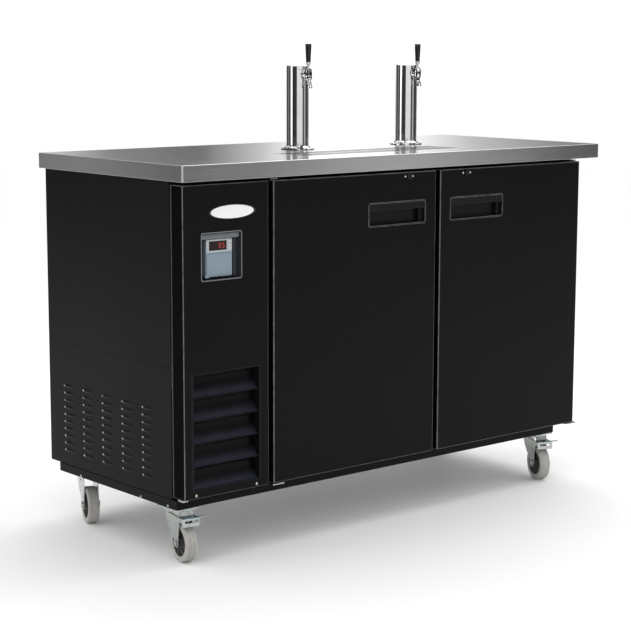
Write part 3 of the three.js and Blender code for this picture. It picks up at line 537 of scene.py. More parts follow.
controller_grey = moulded("controller_blue_grey", "controller_grey", (0.20, 0.265, 0.315), 0.42)
bezel_silver = moulded("bezel_silver", "controller_grey", (0.40, 0.42, 0.44), 0.34)
key_grey = moulded("rubber_key", "button_grey", (0.60, 0.62, 0.64), 0.5)
hood_grey = moulded("smoked_hood", "controller_grey", (0.13, 0.14, 0.15), 0.22)
display_black = Shader("display_window", "controller_grey")
display_black.finish(
    base_color=display_black.blend(display_black.noise(80), (0.012, 0.004, 0.004), (0.022, 0.008, 0.008)),
    roughness=0.12,
    coat_weight=display_black.between(display_black.noise(12), 0.2, 0.8, 0.6, 0.9),
)
digit_red = Shader("lit_digit", "controller_grey")
digit_red.finish(
    base_color=digit_red.blend(digit_red.noise(300), (0.10, 0.01, 0.01), (0.16, 0.015, 0.015)),
    emission_color=digit_red.blend(digit_red.noise(900), (0.42, 0.02, 0.02), (0.70, 0.06, 0.04)),
    emission_strength=0.9,
    roughness=0.4,
)

# %% [markdown]
# Inside, the cabinet is lined with thin aluminium that is embossed with small pebbles, which hides
# scratches from kegs. A smooth cell pattern makes the pebbles.

# %% Liner, board, coil and copper
liner = Shader("embossed_liner", "inner_sheet")
pebble = liner.cells(260, "SMOOTH_F1")
wear = liner.noise(7, 4)
liner.finish(
    base_color=liner.blend(wear, (0.56, 0.57, 0.58), (0.68, 0.69, 0.70)),
    metallic=0.9,
    roughness=liner.between(wear, 0.3, 0.7, 0.32, 0.46),
    normal=liner.bump(pebble, 0.5 * mm, 0.5),
)
board = Shader("sealed_board", "core_board")
fibre = board.noise(260, 4, stretch=(0.1, 1, 1))
ply = board.waves("Z", 110.0, 1.5)
board.finish(
    base_color=board.blend(fibre * 0.6 + ply * 0.4, (0.20, 0.12, 0.065), (0.36, 0.25, 0.15)),
    roughness=board.between(fibre, 0.3, 0.7, 0.6, 0.8),
    normal=board.bump(fibre, 0.2 * mm, 0.4),
)
fins = Shader("aluminium_fins", "coil_metal")
# The dark bands between the fin lines are painted shade in the gaps between the fins.
fin_and_gap_shade = fins.waves("X", 160.0)
fins.finish(
    base_color=fins.blend(fin_and_gap_shade, (0.10, 0.105, 0.11), (0.42, 0.43, 0.44)),
    metallic=fins.between(fins.noise(20), 0.2, 0.8, 0.7, 0.9),
    roughness=0.45,
    normal=fins.bump(fin_and_gap_shade, 0.6 * mm, 0.7),
)
copper = mottled(
    "copper_tube", "coil_metal", 70, (0.60, 0.27, 0.14), (0.34, 0.17, 0.10), (0.25, 0.5),
    detail=4, metallic=1.0,
)

# %% [markdown]
# ## Shape helpers
#
# Most of this machine is bent sheet and turned bar. Sheet starts as a box or a filled outline whose edges
# are bevelled, because a real bend catches a thin line of light that a sharp edge doesn't. Bar starts as a
# profile that is spun. These few helpers hold the bmesh operators that every piece below shares.

# %% Boxes, and copies of engineering nodes
def block(low, high):
    """A box between two corners."""
    bm = bmesh.new()
    low, high = Vector(low), Vector(high)
    shape = Matrix.Translation((low + high) / 2) @ Matrix.Diagonal((*(high - low), 1))
    bmesh.ops.create_cube(bm, size=1, matrix=shape)
    return bm


def copy_of(node):
    """A merged copy of a CAD node, with each flat side made one face again."""
    bm = bmesh.new()
    bm.from_mesh(frame["nodes"][node].data)
    bmesh.ops.remove_doubles(bm, verts=bm.verts, dist=0.01 * mm)
    bmesh.ops.dissolve_limit(bm, angle_limit=math.radians(0.5), verts=bm.verts, edges=bm.edges)
    return bm


def add(bm, *others):
    """Puts the shapes of other bmeshes into bm."""
    for other in others:
        loose = bpy.data.meshes.new("loose")
        other.to_mesh(loose)
        other.free()
        bm.from_mesh(loose)
        bpy.data.meshes.remove(loose)
    return bm


print("worktop skin, merged:", len(copy_of("worktop_skin").faces), "faces")


# %% Edges and bevels
def sharp_edges(bm, degrees=30):
    return [e for e in bm.edges if len(e.link_faces) == 2 and e.calc_face_angle(0) > math.radians(degrees)]


def outline_edges(bm, low, high):
    """The sharp edges that lie where two sides of the box low-high meet."""
    def sides(point):
        return {
            (axis, side)
            for axis in range(3)
            for side, corner in enumerate((low, high))
            if abs(point[axis] - corner[axis]) < 0.1 * mm
        }
    return [e for e in sharp_edges(bm) if len(sides(e.verts[0].co) & sides(e.verts[1].co)) > 1]


def soften(bm, edges, radius, segments=3, index=0):
    """Rounds edges with a bevel of that radius. Its new faces get the material with that index."""
    made = bmesh.ops.bevel(
        bm, geom=edges, offset=radius, offset_type="OFFSET", affect="EDGES",
        segments=segments, profile=0.5, material=-1, clamp_overlap=True,
    )
    for face in made["faces"]:
        face.material_index = index
    return bm


def eased(bm, radius=0.5 * mm, segments=2, degrees=30):
    """Every sharp edge of bm, rounded."""
    return soften(bm, sharp_edges(bm, degrees), radius, segments)


# %% Finished objects
def make_piece(name, bm, finish, body, replaces=(), crease=40):
    """An object from bm that rides on a body. finish is a Shader, or a list where faces have indices."""
    finishes = finish if isinstance(finish, list) else [finish]
    mesh = bpy.data.meshes.new(name)
    bm.to_mesh(mesh)
    bm.free()
    if "custom_normal" in mesh.attributes:
        mesh.attributes.remove(mesh.attributes["custom_normal"])
    while mesh.uv_layers:
        mesh.uv_layers.remove(mesh.uv_layers[0])
    for used in finishes:
        mesh.materials.append(used.material)
    mesh.polygons.foreach_set("use_smooth", [True] * len(mesh.polygons))
    mesh.set_sharp_from_angle(angle=math.radians(crease))
    piece = link(name, mesh)
    shading = piece.modifiers.new("even_shading", "WEIGHTED_NORMAL")
    shading.keep_sharp = True
    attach(piece, body)
    if replaces:
        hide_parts(*([replaces] if isinstance(replaces, str) else replaces))
    print(f"{name}: {len(mesh.polygons)} faces on {body}")
    return piece


def paint(bm, index, chosen):
    """Gives the material with that index to the faces that chosen picks."""
    for face in bm.faces:
        if chosen(face):
            face.material_index = index
    return bm


def unhighlight_shaded_bends(bm):
    """Bends that face right or down face away from the light, so they lose the painted highlight and keep the
    plain paint.
    """
    def faces_away(face):
        return face.material_index == 1 and (face.normal.x > 0.2 or face.normal.z < -0.2)
    return paint(bm, 0, faces_away)


# %% Turned pieces
turn_to = {
    "z": Matrix(),
    "x": Matrix.Rotation(math.pi / 2, 4, "Y"),
    "y": Matrix.Rotation(-math.pi / 2, 4, "X"),
    "-y": Matrix.Rotation(math.pi / 2, 4, "X"),
}


def spun(profile, place=(0, 0, 0), axis="z", steps=40, turn=Matrix()):
    """A solid of revolution from (radius, height) points in mm, with its axis at place."""
    bm = bmesh.new()
    points = [bm.verts.new((radius * mm, 0, height * mm)) for radius, height in profile]
    for first, second in zip(points, points[1:]):
        bm.edges.new((first, second))
    outline = bm.verts[:] + bm.edges[:]
    bmesh.ops.spin(
        bm, geom=outline, cent=(0, 0, 0), axis=(0, 0, 1), angle=math.tau, steps=steps, use_merge=True
    )
    bmesh.ops.remove_doubles(bm, verts=bm.verts, dist=0.001 * mm)
    bmesh.ops.recalc_face_normals(bm, faces=bm.faces)
    bmesh.ops.transform(bm, matrix=Matrix.Translation(place) @ turn @ turn_to[axis], verts=bm.verts)
    return bm


def bar(place, axis, length, radius, steps=24, edge=0.4, turn=Matrix()):
    """A round bar whose end stands at place, with eased ends. All sizes are in mm but place."""
    profile = [(0, 0), (radius - edge, 0), (radius, edge)]
    profile += [(radius, length - edge), (radius - edge, length), (0, length)]
    return spun(profile, place, axis, steps, turn)


def pipe(points, radius, sides=12):
    """A round pipe of that radius along points, with closed ends."""
    curve = bpy.data.curves.new("route", "CURVE")
    curve.dimensions = "3D"
    spline = curve.splines.new("NURBS")
    spline.points.add(len(points) - 1)
    for knot, point in zip(spline.points, points):
        knot.co = (*point, 1)
    spline.use_endpoint_u = True
    spline.order_u = 3
    spline.resolution_u = 6
    curve.bevel_depth = radius
    curve.bevel_resolution = sides // 4
    curve.use_fill_caps = True
    carrier = bpy.data.objects.new("route", curve)
    bm = bmesh.new()
    bm.from_mesh(carrier.to_mesh())
    carrier.to_mesh_clear()
    bpy.data.objects.remove(carrier)
    bpy.data.curves.remove(curve)
    bmesh.ops.remove_doubles(bm, verts=bm.verts, dist=0.001 * mm)
    bmesh.ops.recalc_face_normals(bm, faces=bm.faces)
    return bm


print("turned and bent shapes ready")


# %% Outlines with rounded corners and pockets
def rounded_loop(bm, low, high, radius, segments=6):
    """A filled rectangle in the XY plane, from corner low to corner high, with its corners rounded."""
    turns = ((low[0], low[1]), (high[0], low[1]), high, (low[0], high[1]))
    corners = [bm.verts.new((x, y, 0)) for x, y in turns]
    bm.faces.new(corners)
    if radius:
        bmesh.ops.bevel(
            bm, geom=corners, offset=radius, offset_type="OFFSET", affect="VERTICES",
            segments=segments, profile=0.5, material=-1, clamp_overlap=True,
        )


def pushed(bm, loop, depth):
    """Extrudes a loop of edges by depth along Z and gives the far loop."""
    made = bmesh.ops.extrude_edge_only(bm, edges=loop)["geom"]
    far = [item for item in made if isinstance(item, bmesh.types.BMVert)]
    bmesh.ops.translate(bm, verts=far, vec=(0, 0, depth))
    far_set = set(far)
    return [e for e in made if isinstance(e, bmesh.types.BMEdge) and set(e.verts) <= far_set]


def slab(low, high, radius, thickness, pockets=(), segments=6):
    """A plate in the XY plane whose face is at Z 0 and whose back is below it.

    A pocket is (low, high, radius, depth). A pocket as deep as the plate is a hole right through.
    """
    bm = bmesh.new()
    loops = []
    for first, last, corner, depth in [(low, high, radius, thickness), *pockets]:
        before = set(bm.edges)
        rounded_loop(bm, first, last, corner, segments)
        loops.append(([e for e in bm.edges if e not in before], depth))
    bmesh.ops.delete(bm, geom=bm.faces[:], context="FACES_ONLY")
    rims = [e for loop, depth in loops for e in loop]
    bmesh.ops.triangle_fill(bm, use_beauty=True, use_dissolve=False, edges=rims, normal=(0, 0, 1))
    through = []
    for loop, depth in loops:
        far = pushed(bm, loop, -depth)
        if abs(depth - thickness) < 0.01 * mm:
            through += far
        else:
            bmesh.ops.contextual_create(bm, geom=far)
    bmesh.ops.triangle_fill(bm, use_beauty=True, use_dissolve=False, edges=through, normal=(0, 0, -1))
    bmesh.ops.dissolve_limit(bm, angle_limit=math.radians(0.5), verts=bm.verts, edges=bm.edges)
    bmesh.ops.recalc_face_normals(bm, faces=bm.faces)
    return bm


def facing_front(bm, depth):
    """Stands a flat plate up, so that its face looks towards the front from that depth."""
    stand = Matrix.Translation((0, depth, 0)) @ Matrix.Rotation(math.pi / 2, 4, "X")
    bmesh.ops.transform(bm, matrix=stand, verts=bm.verts)
    return bm


def front_plate(low, high, corner, thickness, depth, pockets=(), ease=0, rounds=2):
    """A plate that faces the front from that depth, with its sharp edges rounded by ease."""
    plate = facing_front(slab(low, high, corner, thickness, pockets), depth)
    return eased(plate, ease, rounds) if ease else plate


test_plate = slab((0, 0), (0.1, 0.05), 5 * mm, 4 * mm, [((0.02, 0.02), (0.05, 0.04), 3 * mm, 2 * mm)])
print("test plate:", len(test_plate.faces), "faces, closed:", all(e.is_manifold for e in test_plate.edges))
test_plate.free()


# %% Screws
def screw(place, axis="-y", radius=4.0, height=2.2):
    """A pan-head screw with a round drive dimple, standing on place."""
    profile = [
        (0, height * 0.45),
        (radius * 0.32, height * 0.45),
        (radius * 0.38, height),
        (radius * 0.62, height * 0.92),
        (radius * 0.9, height * 0.5),
        (radius, 0),
        (0, 0),
    ]
    return spun(profile, place, axis, 14)


def hex_head(place, axis="z", radius=6.0, height=5.0):
    """A hexagon bolt head with a chamfered crown on a thin washer."""
    washer = 0.8
    crown = [(radius, height - 0.8), (radius * 0.82, height), (0, height)]
    head = spun([(0, washer), (radius, washer), *crown], place, axis, 6)
    wide = radius * 1.25
    return add(head, spun([(0, 0), (wide, 0), (wide, washer), (0, washer)], place, axis, 20))

# %% [markdown]
# ## Worktop
#
# The top is one sheet of stainless folded down on all four sides over a board. What tells the eye that it
# is folded sheet is the bend: a round edge of two or three millimetres that draws one bright line along
# the whole front. The fold's lower edge is turned in, which shows as a second, fainter line.

# %% Worktop skin
low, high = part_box("worktop_skin")
skin = copy_of("worktop_skin")
rim_zone = 6 * mm


def on_top(edge):
    return all(abs(vert.co.z - high.z) < 0.1 * mm for vert in edge.verts)


def on_top_rim(edge):
    return on_top(edge) and all(
        abs(vert.co.x) > high.x - rim_zone or abs(vert.co.y) > high.y - rim_zone for vert in edge.verts
    )


# The top rim and the corner bends take the brighter bend steel, a painted highlight.
soften(skin, [e for e in sharp_edges(skin) if on_top_rim(e)], 2.3 * mm, 4, index=1)
soften(skin, [e for e in sharp_edges(skin, 60) if on_top(e)], 0.6 * mm, 2)
paint(skin, 2, lambda face: abs(face.normal.x) > 0.9)
corner = [e for e in outline_edges(skin, low, high) if abs(e.verts[0].co.z - e.verts[1].co.z) > 5 * mm]
soften(skin, corner, 1.9 * mm, 4, index=1)
make_piece("worktop_sheet", skin, [top_steel, bend_highlight_steel, end_steel], "cabinet", "worktop_skin")

# %% Worktop hem
hem_width = 3.5 * mm
hem_height = 1.6 * mm
hem = slab(low.xy, high.xy, 4 * mm, hem_height, [(
    low.xy + Vector((hem_width, hem_width)), high.xy - Vector((hem_width, hem_width)), 1 * mm, hem_height,
)])
bmesh.ops.translate(hem, verts=hem.verts, vec=(0, 0, low.z + 0.2 * mm))
make_piece("worktop_hem", eased(hem, 0.5 * mm), top_steel, "cabinet")
core_materials = frame["nodes"]["worktop_core"].data.materials
core_materials.clear()
core_materials.append(board.material)

# %% [markdown]
# ## Drip tray
#
# The tray is a pressed pan let into the top, with a slotted grid that lifts out. Both come from merged
# copies of the engineering shapes, because the slots and the drain must stay where they are. Easing the
# slot edges gives each bar a glint. A small domed strainer covers the drain.

# %% Tray and grid
tray = copy_of("drip_tray")
soften(tray, outline_edges(tray, *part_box("drip_tray")), 0.8 * mm, 3)
eased(tray, 0.4 * mm, 2)
tray_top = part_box("drip_tray")[1].z
# The pan's floor under the grid takes the dark steel, painted shade.
paint(tray, 1, lambda face: face.calc_center_median().z < tray_top - 4 * mm)
make_piece("drip_pan", tray, [tray_steel, pan_steel], "cabinet", "drip_tray")
grid = copy_of("drip_grid")
# The slot walls take the dark metal, painted shade inside the slots.
paint(grid, 1, lambda face: abs(face.normal.z) < 0.5)
make_piece("drip_grate", eased(grid, 0.35 * mm, 2), [grid_steel, oxide_and_slot_shade_metal], "drip_grid", "drip_grid")
tube_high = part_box("drain_tube")[1]
pan_middle = (sum(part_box("drip_tray"), Vector()) / 2).xy
strainer_place = (*pan_middle, tube_high.z + 1.2 * mm)
strainer = spun([(0, 0), (10.5, 0), (10.5, 0.8), (7, 1.6), (0, 2)], strainer_place, steps=32)
make_piece("drain_strainer", strainer, tray_steel, "cabinet")

# %% [markdown]
# ## Cabinet walls
#
# The walls are foamed panels: black coated sheet outside and embossed aluminium inside. Each is a copy of
# its engineering node with a bend radius along its outer edges, and the faces that look into the keg space
# take the liner's finish.

# %% Walls
keg_low = Vector((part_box("partition_wall")[0].x, -1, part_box("floor_slab")[1].z - 1 * mm))
keg_high = Vector((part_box("side_wall_right")[0].x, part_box("back_wall")[0].y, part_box("ceiling_slab")[0].z))
wall_bend = 2.5 * mm


def looks_inward(face):
    middle = face.calc_center_median()
    margin = 0.5 * mm
    return all(keg_low[axis] - margin < middle[axis] < keg_high[axis] + margin for axis in range(3))


for node in ("side_wall_right", "back_wall"):
    wall = copy_of(node)
    soften(wall, outline_edges(wall, *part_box(node)), wall_bend, 3)
    paint(wall, 1, looks_inward)
    make_piece(node + "_panel", wall, [black_paint, liner], "cabinet", node)
for node in ("floor_slab", "ceiling_slab", "partition_wall", "centre_mullion"):
    wall = copy_of(node)
    soften(wall, outline_edges(wall, *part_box(node)), 1.5 * mm, 2)
    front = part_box(node)[0].y
    paint(wall, 1, lambda face: abs(face.calc_center_median().y - front) < 1.2 * mm)
    make_piece(node + "_lined", wall, [liner, black_paint], "cabinet", node)

# %% Plinth
plinth = copy_of("base_frame")
plinth_low, plinth_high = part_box("base_frame")
soften(plinth, outline_edges(plinth, plinth_low, plinth_high), 2 * mm, 3)
make_piece("plinth_frame", eased(plinth, 0.8 * mm), black_paint, "cabinet", "base_frame")

# %% [markdown]
# ## Vented side
#
# The sheet over the machine bay is pierced with five columns of ten louvres. A louvre is lanced and
# pressed in one stroke: the sheet is cut along one line and pushed out into a half teardrop, high at its
# open end and fading into the sheet at the other. One small blister is shaped once and copied over the
# slots that the engineering sheet already has.

# %% Louvre blister
def louvre(place, length, height, rise):
    """Half a teardrop on the left side: its high end is towards the back, and its rear faces get a painted
    highlight.
    """
    bm = bmesh.new()
    bmesh.ops.create_uvsphere(bm, u_segments=14, v_segments=8, radius=1)
    whole = bm.verts[:] + bm.edges[:] + bm.faces[:]
    bmesh.ops.bisect_plane(bm, geom=whole, plane_co=(0, 0, 0), plane_no=(1, 0, 0), clear_outer=True)
    bmesh.ops.contextual_create(bm, geom=[e for e in bm.edges if e.is_boundary])
    # The rear end takes the glint finish, a painted highlight.
    paint(bm, 1, lambda face: face.calc_center_median().y > 0.72)
    for vert in bm.verts:
        back = (vert.co.y + 1) / 2
        taper = 0.45 + 0.55 * back ** 1.5
        vert.co = Vector((vert.co.x * rise * taper, vert.co.y * length / 2, vert.co.z * height / 2))
    bmesh.ops.translate(bm, verts=bm.verts, vec=place)
    return bm


side_low, side_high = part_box("side_panel_left")
side = copy_of("side_panel_left")
slots = []
for face in side.faces:
    bottom = face.calc_center_median().z
    if face.normal.z > 0.9 and side_low.z + 1 * mm < bottom < side_high.z - 1 * mm:
        ys = [vert.co.y for vert in face.verts]
        slots.append((min(ys), max(ys), bottom))
slot_height = 6 * mm
soften(side, outline_edges(side, side_low, side_high), 0.9 * mm, 3)
make_piece("vented_side", side, black_paint, "cabinet", "side_panel_left")
blisters = bmesh.new()
for back_low, back_high, bottom in slots:
    middle = Vector((side_low.x + 0.6 * mm, (back_low + back_high) / 2, bottom + slot_height / 2))
    add(blisters, louvre(middle, back_high - back_low + 14 * mm, slot_height + 5 * mm, 4.2 * mm))
make_piece("side_louvres", blisters, [louvre_sheen_paint, lanced_edge], "cabinet")
print("louvres:", len(slots))

# %% [markdown]
# A pressed line runs along the sheet above the louvres and stiffens it. It is a shallow bead, so it is
# made as a thin strip with fully rounded edges that barely stands off the sheet. Small rivets hold the
# sheet to the base frame.

# %% Side bead and rivets
bead_z = side_low.z + 335 * mm
bead_half = 6 * mm
bead_low = Vector((side_low.x - 0.5 * mm, side_low.y + 12 * mm, bead_z - bead_half))
bead = block(bead_low, (side_low.x + 0.8 * mm, side_high.y - 12 * mm, bead_z + bead_half))
make_piece("side_bead", eased(bead, 0.6 * mm, 3), black_paint, "cabinet")
frame_rivets = bmesh.new()
for share in (0.035, 0.245, 0.74):
    y = side_low.y + (side_high.y - side_low.y) * share
    rivet = spun([(0, 1.2), (2.4, 1.0), (3.6, 0.4), (3.8, 0), (0, 0)], steps=16)
    lay = Matrix.Translation((plinth_low.x, y, plinth_low.z + 5 * mm)) @ Matrix.Rotation(-math.pi / 2, 4, "Y")
    bmesh.ops.transform(rivet, matrix=lay, verts=rivet.verts)
    add(frame_rivets, rivet)
make_piece("frame_rivets", frame_rivets, zinc, "cabinet")

# %% Rear cover
cover_low, cover_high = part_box("rear_cover")
cover = copy_of("rear_cover")
soften(cover, outline_edges(cover, cover_low, cover_high), 0.9 * mm, 3)
make_piece("machine_bay_cover", cover, black_paint, "cabinet", "rear_cover")
cover_screws = bmesh.new()
inset = 9 * mm
for x in (cover_low.x + inset, cover_high.x - inset):
    for share in (0.02, 0.35, 0.68, 0.98):
        z = cover_low.z + (cover_high.z - cover_low.z) * share
        add(cover_screws, screw((x, cover_high.y, z), "y", 4.2, 2.2))
make_piece("cover_screws", cover_screws, zinc, "cabinet")
inlet = copy_of("power_inlet")
make_piece("mains_inlet", eased(inlet, 0.6 * mm, 2), black_plastic, "cabinet", "power_inlet")

# %% [markdown]
# ## Doors
#
# A door is a folded steel shell filled with foam, with a thin paler pan on the inside and a magnetic gasket
# round its edge. The shell is a flat plate with two pockets, one for the finger pull and one for the lock.
# An outline that is filled and pushed back gives both at once, and the pull's pocket can have the round
# corners that a plain box cut would miss.

# %% Sizes that the doors share
door_bend = 2.6 * mm
pan_depth = 3 * mm
pull_wall = 4 * mm
pull_corner = 7 * mm
door_low, door_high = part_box("door_left_panel")
front_plane = door_low.y
shell_depth = door_high.y - front_plane - pan_depth
joints = {joint["name"]: joint for joint in frame["joints"]}
print("front plane at", round(front_plane / mm, 1), "mm")


def flat(corner):
    """A corner seen from the front: (x, z)."""
    return Vector((corner.x, corner.z))


def grown(low, high, by):
    return low - Vector((by, by)), high + Vector((by, by))


# %% Door shell
def make_door_shell(door):
    low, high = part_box(door + "_panel")
    pull_low, pull_high = (flat(corner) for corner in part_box(door + "_pull"))
    lock_low, lock_high = (flat(corner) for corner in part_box(door + "_lock"))
    pocket_low, pocket_high = grown(pull_low, pull_high, 0.3 * mm)
    bore_low, bore_high = grown(lock_low, lock_high, 0.4 * mm)
    bore = (bore_high.x - bore_low.x) / 2
    shell = front_plate(flat(low), flat(high), 0, shell_depth, low.y, [
        (pocket_low, pocket_high, pull_corner, 24.2 * mm),
        (bore_low, bore_high, bore * 0.99, 20 * mm),
    ])
    bends = outline_edges(shell, low, Vector((high.x, low.y + shell_depth, high.z)))
    # The bends get the painted highlight, and the side returns get painted shade.
    soften(shell, bends, door_bend, 4, index=1)
    unhighlight_shaded_bends(shell)
    paint(shell, 2, lambda face: abs(face.normal.x) > 0.99 and face.material_index == 0)
    make_piece(door + "_shell", shell, [black_paint, bend_highlight_paint, return_shade_paint], door, door + "_panel")


for door in ("door_left", "door_right"):
    make_door_shell(door)


# %% Door pan and gasket
def make_door_inside(door):
    low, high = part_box(door + "_panel")
    edge = Vector((3 * mm, 0, 3 * mm))
    pan = block(Vector((low.x, high.y - pan_depth + 0.1 * mm, low.z)) + edge, high - edge)
    inner = [face for face in pan.faces if face.normal.y > 0.9]
    bmesh.ops.inset_individual(pan, faces=inner, thickness=40 * mm, depth=0)
    bmesh.ops.inset_individual(pan, faces=inner, thickness=6 * mm, depth=-2 * mm)
    make_piece(door + "_pan", eased(pan, 0.8 * mm, 3, 12), liner, door)
    gasket = copy_of(door + "_gasket")
    make_piece(door + "_seal", eased(gasket, 1.1 * mm, 3), gasket_rubber, door, door + "_gasket")


for door in ("door_left", "door_right"):
    make_door_inside(door)

# %% [markdown]
# ## Finger pull
#
# The pull is a moulded cup let into the door. A lip covers its upper third, and fingers hook up behind it.
# The cup's rim stands a millimetre off the paint with a full round, and that thin round is painted a paler
# grey as a painted highlight, which draws the pull's outline in grey on black.

# %% Finger pull
def make_pull(door):
    low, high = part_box(door + "_pull")
    first, last = flat(low), flat(high)
    inner_first, inner_last = grown(first, last, -pull_wall)
    hollow = (inner_first, inner_last, pull_corner - 3 * mm, 21.5 * mm)
    cup = front_plate(first, last, pull_corner, high.y - low.y, low.y, [hollow])
    rim = [e for e in sharp_edges(cup) if all(abs(v.co.y - low.y) < 0.05 * mm for v in e.verts)]
    # The rim's round takes the paler rim finish, a painted highlight.
    soften(cup, rim, 0.9 * mm, 3, index=1)
    lip_bottom = last.y - (last.y - first.y) * 0.36
    lip_low = Vector((inner_first.x - 0.5 * mm, lip_bottom))
    lip_high = inner_last + Vector((0.5, 0.5)) * mm
    lip = front_plate(lip_low, lip_high, 2 * mm, 3.4 * mm, low.y + 0.7 * mm, (), 1.3 * mm, 4)
    rib_low = Vector((inner_last.x - 16 * mm, inner_first.y - 0.5 * mm))
    rib_high = Vector((inner_last.x + 0.5 * mm, lip_bottom))
    rib = front_plate(rib_low, rib_high, 1 * mm, 12 * mm, low.y + 9.5 * mm, (), 1.5 * mm, 3)
    make_piece(door + "_pull_cup", add(cup, lip, rib), [black_plastic, pull_rim_highlight], door, door + "_pull")


# %% Lock
def make_lock(door):
    low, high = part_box(door + "_lock")
    middle = (flat(low) + flat(high)) / 2
    radius = (high.x - low.x) / 2
    reach = Vector((radius, radius))
    keyway = Vector((0.8, 4)) * mm
    slot = (middle - keyway, middle + keyway, 0.7 * mm, 4 * mm)
    plug = slab(middle - reach, middle + reach, radius * 0.99, high.y - low.y, [slot], 8)
    facing_front(plug, low.y)
    make_piece(door + "_lock_plug", eased(plug, 0.35 * mm, 2, 50), oxide_and_slot_shade_metal, door + "_lock", door + "_lock")
    ring = [(8.4, 0), (10.4, 0), (10.4, 0.7), (9.9, 1.6), (8.9, 1.6), (8.4, 0.9), (8.4, 0)]
    bezel = spun(ring, (middle.x, front_plane + 0.1 * mm, middle.y), "-y", 40)
    make_piece(door + "_lock_bezel", bezel, oxide_and_slot_shade_metal, door)
    rivets = bmesh.new()
    for side in (-1, 1):
        add(rivets, screw((middle.x + side * 14 * mm, front_plane, middle.y), "-y", 3, 1.4))
    make_piece(door + "_lock_rivets", rivets, chrome, door)


for door in ("door_left", "door_right"):
    make_pull(door)
    make_lock(door)

# %% Hinges
# Each bracket is a folded zinc plate. The lower ones carry the door on a foot that shows beneath it.
for door in ("door_left", "door_right"):
    for end in ("top", "bottom"):
        node = f"{door}_{end}_hinge"
        make_piece(node + "_bracket", eased(copy_of(node), 0.5 * mm), zinc, "cabinet", node)
    x, y, _ = joints[door + "_swing"]["pos_m"]
    foot_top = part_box(door + "_panel")[0].z - 0.6 * mm
    foot = slab((x - 14 * mm, front_plane - 1.5 * mm), (x + 26 * mm, y + 7 * mm), 5 * mm, 3.2 * mm)
    bmesh.ops.translate(foot, verts=foot.verts, vec=(0, 0, foot_top - 1 * mm))
    add(foot, bar((x, y, foot_top - 7.6 * mm), "z", 4, 6.5, 24, 0.8))
    add(foot, hex_head((x + 17 * mm, front_plane + 7 * mm, foot_top - 1.2 * mm), "z", 3, 0.9))
    make_piece(door + "_hinge_foot", eased(foot, 0.5 * mm, 2, 50), zinc, "cabinet")

# %% [markdown]
# ## Control panel
#
# The panel beside the doors is a bent tray of the same black sheet. Its window frames the controller and
# its large opening holds the air grille. The window's edge has a thin moulded surround with round corners,
# a separate piece on the real machine too.

# %% Panel and window surround
panel_low, panel_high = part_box("control_panel")
panel = copy_of("control_panel")
# The bends get the painted highlight, and the side returns get painted shade.
soften(panel, outline_edges(panel, panel_low, panel_high), 1.9 * mm, 4, index=1)
unhighlight_shaded_bends(panel)
paint(panel, 2, lambda face: abs(face.normal.x) > 0.99 and face.material_index == 0)
make_piece("front_panel", panel, [black_paint, bend_highlight_paint, return_shade_paint], "cabinet", "control_panel")
gap_low = Vector((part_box("side_panel_left")[0].x + 2.5 * mm, panel_high.y + 0.2 * mm, panel_low.z))
seal = block(gap_low, (panel_high.x, gap_low.y + 3.5 * mm, panel_high.z))
make_piece("panel_foam_seal", eased(seal, 0.4 * mm, 1), gasket_rubber, "cabinet")

case_low, case_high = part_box("controller_box")
window_low = flat(case_low) - Vector((22, 7)) * mm
window_high = window_low + Vector((127, 120)) * mm
surround_low, surround_high = grown(window_low, window_high, 1.3 * mm)
hole_low, hole_high = grown(window_low, window_high, -0.9 * mm)
surround_hole = (hole_low, hole_high, 4 * mm, 1.6 * mm)
surround = front_plate(
    surround_low, surround_high, 6 * mm, 1.6 * mm, panel_low.y - 1.4 * mm, [surround_hole], 0.6 * mm, 3
)
surround_plastic = moulded("surround_grey", "black_plastic", (0.17, 0.173, 0.177), 0.35)
make_piece("window_surround", surround, surround_plastic, "cabinet")

# The recess behind the window has its own thin liner, a shade bluer than the paint.
liner_plastic = moulded("recess_liner", "black_plastic", (0.028, 0.030, 0.040), 0.35)
shaft_depth = case_high.y - panel_low.y - 2 * mm
shaft_low, shaft_high = grown(window_low, window_high, -0.4 * mm)
shaft_hole = (*grown(window_low, window_high, -1.6 * mm), 6 * mm, shaft_depth)
shaft = front_plate(shaft_low, shaft_high, 7 * mm, shaft_depth, panel_low.y + 0.4 * mm, [shaft_hole])
make_piece("window_liner", shaft, liner_plastic, "cabinet")
step_low = Vector((window_high.x - 14 * mm, panel_low.y + 15 * mm, window_low.y + 2 * mm))
step = block(step_low, (window_high.x - 2 * mm, case_high.y - 3 * mm, window_high.y - 14 * mm))
make_piece("recess_step", eased(step, 1.5 * mm, 3), liner_plastic, "cabinet")

# %% [markdown]
# ## Temperature controller
#
# A small moulded case sits in the window: a silver head with a dark display and three keys, and a plain
# blue-grey cover below. The display shows an ordinary seven-segment reading. The keys are separate pieces,
# because each one is pressed.

# %% Controller case, head and cover
def span_x(share):
    return case_low.x + (case_high.x - case_low.x) * share


keys = [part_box(name) for name in ("button_up", "button_set", "button_down")]
display_low = Vector((case_low.x + 9 * mm, case_high.z - 29 * mm))
display_high = Vector((case_high.x - 17 * mm, case_high.z - 4 * mm))
key_pockets = [(*grown(flat(first), flat(last), 0.4 * mm), 1 * mm, 7 * mm) for first, last in keys]
case_pockets = [(display_low, display_high, 1 * mm, 2 * mm), *key_pockets]
case = front_plate(
    flat(case_low), flat(case_high), 3 * mm, case_high.y - case_low.y, case_low.y, case_pockets, 0.5 * mm
)
make_piece("controller_case", case, controller_grey, "cabinet", "controller_box")

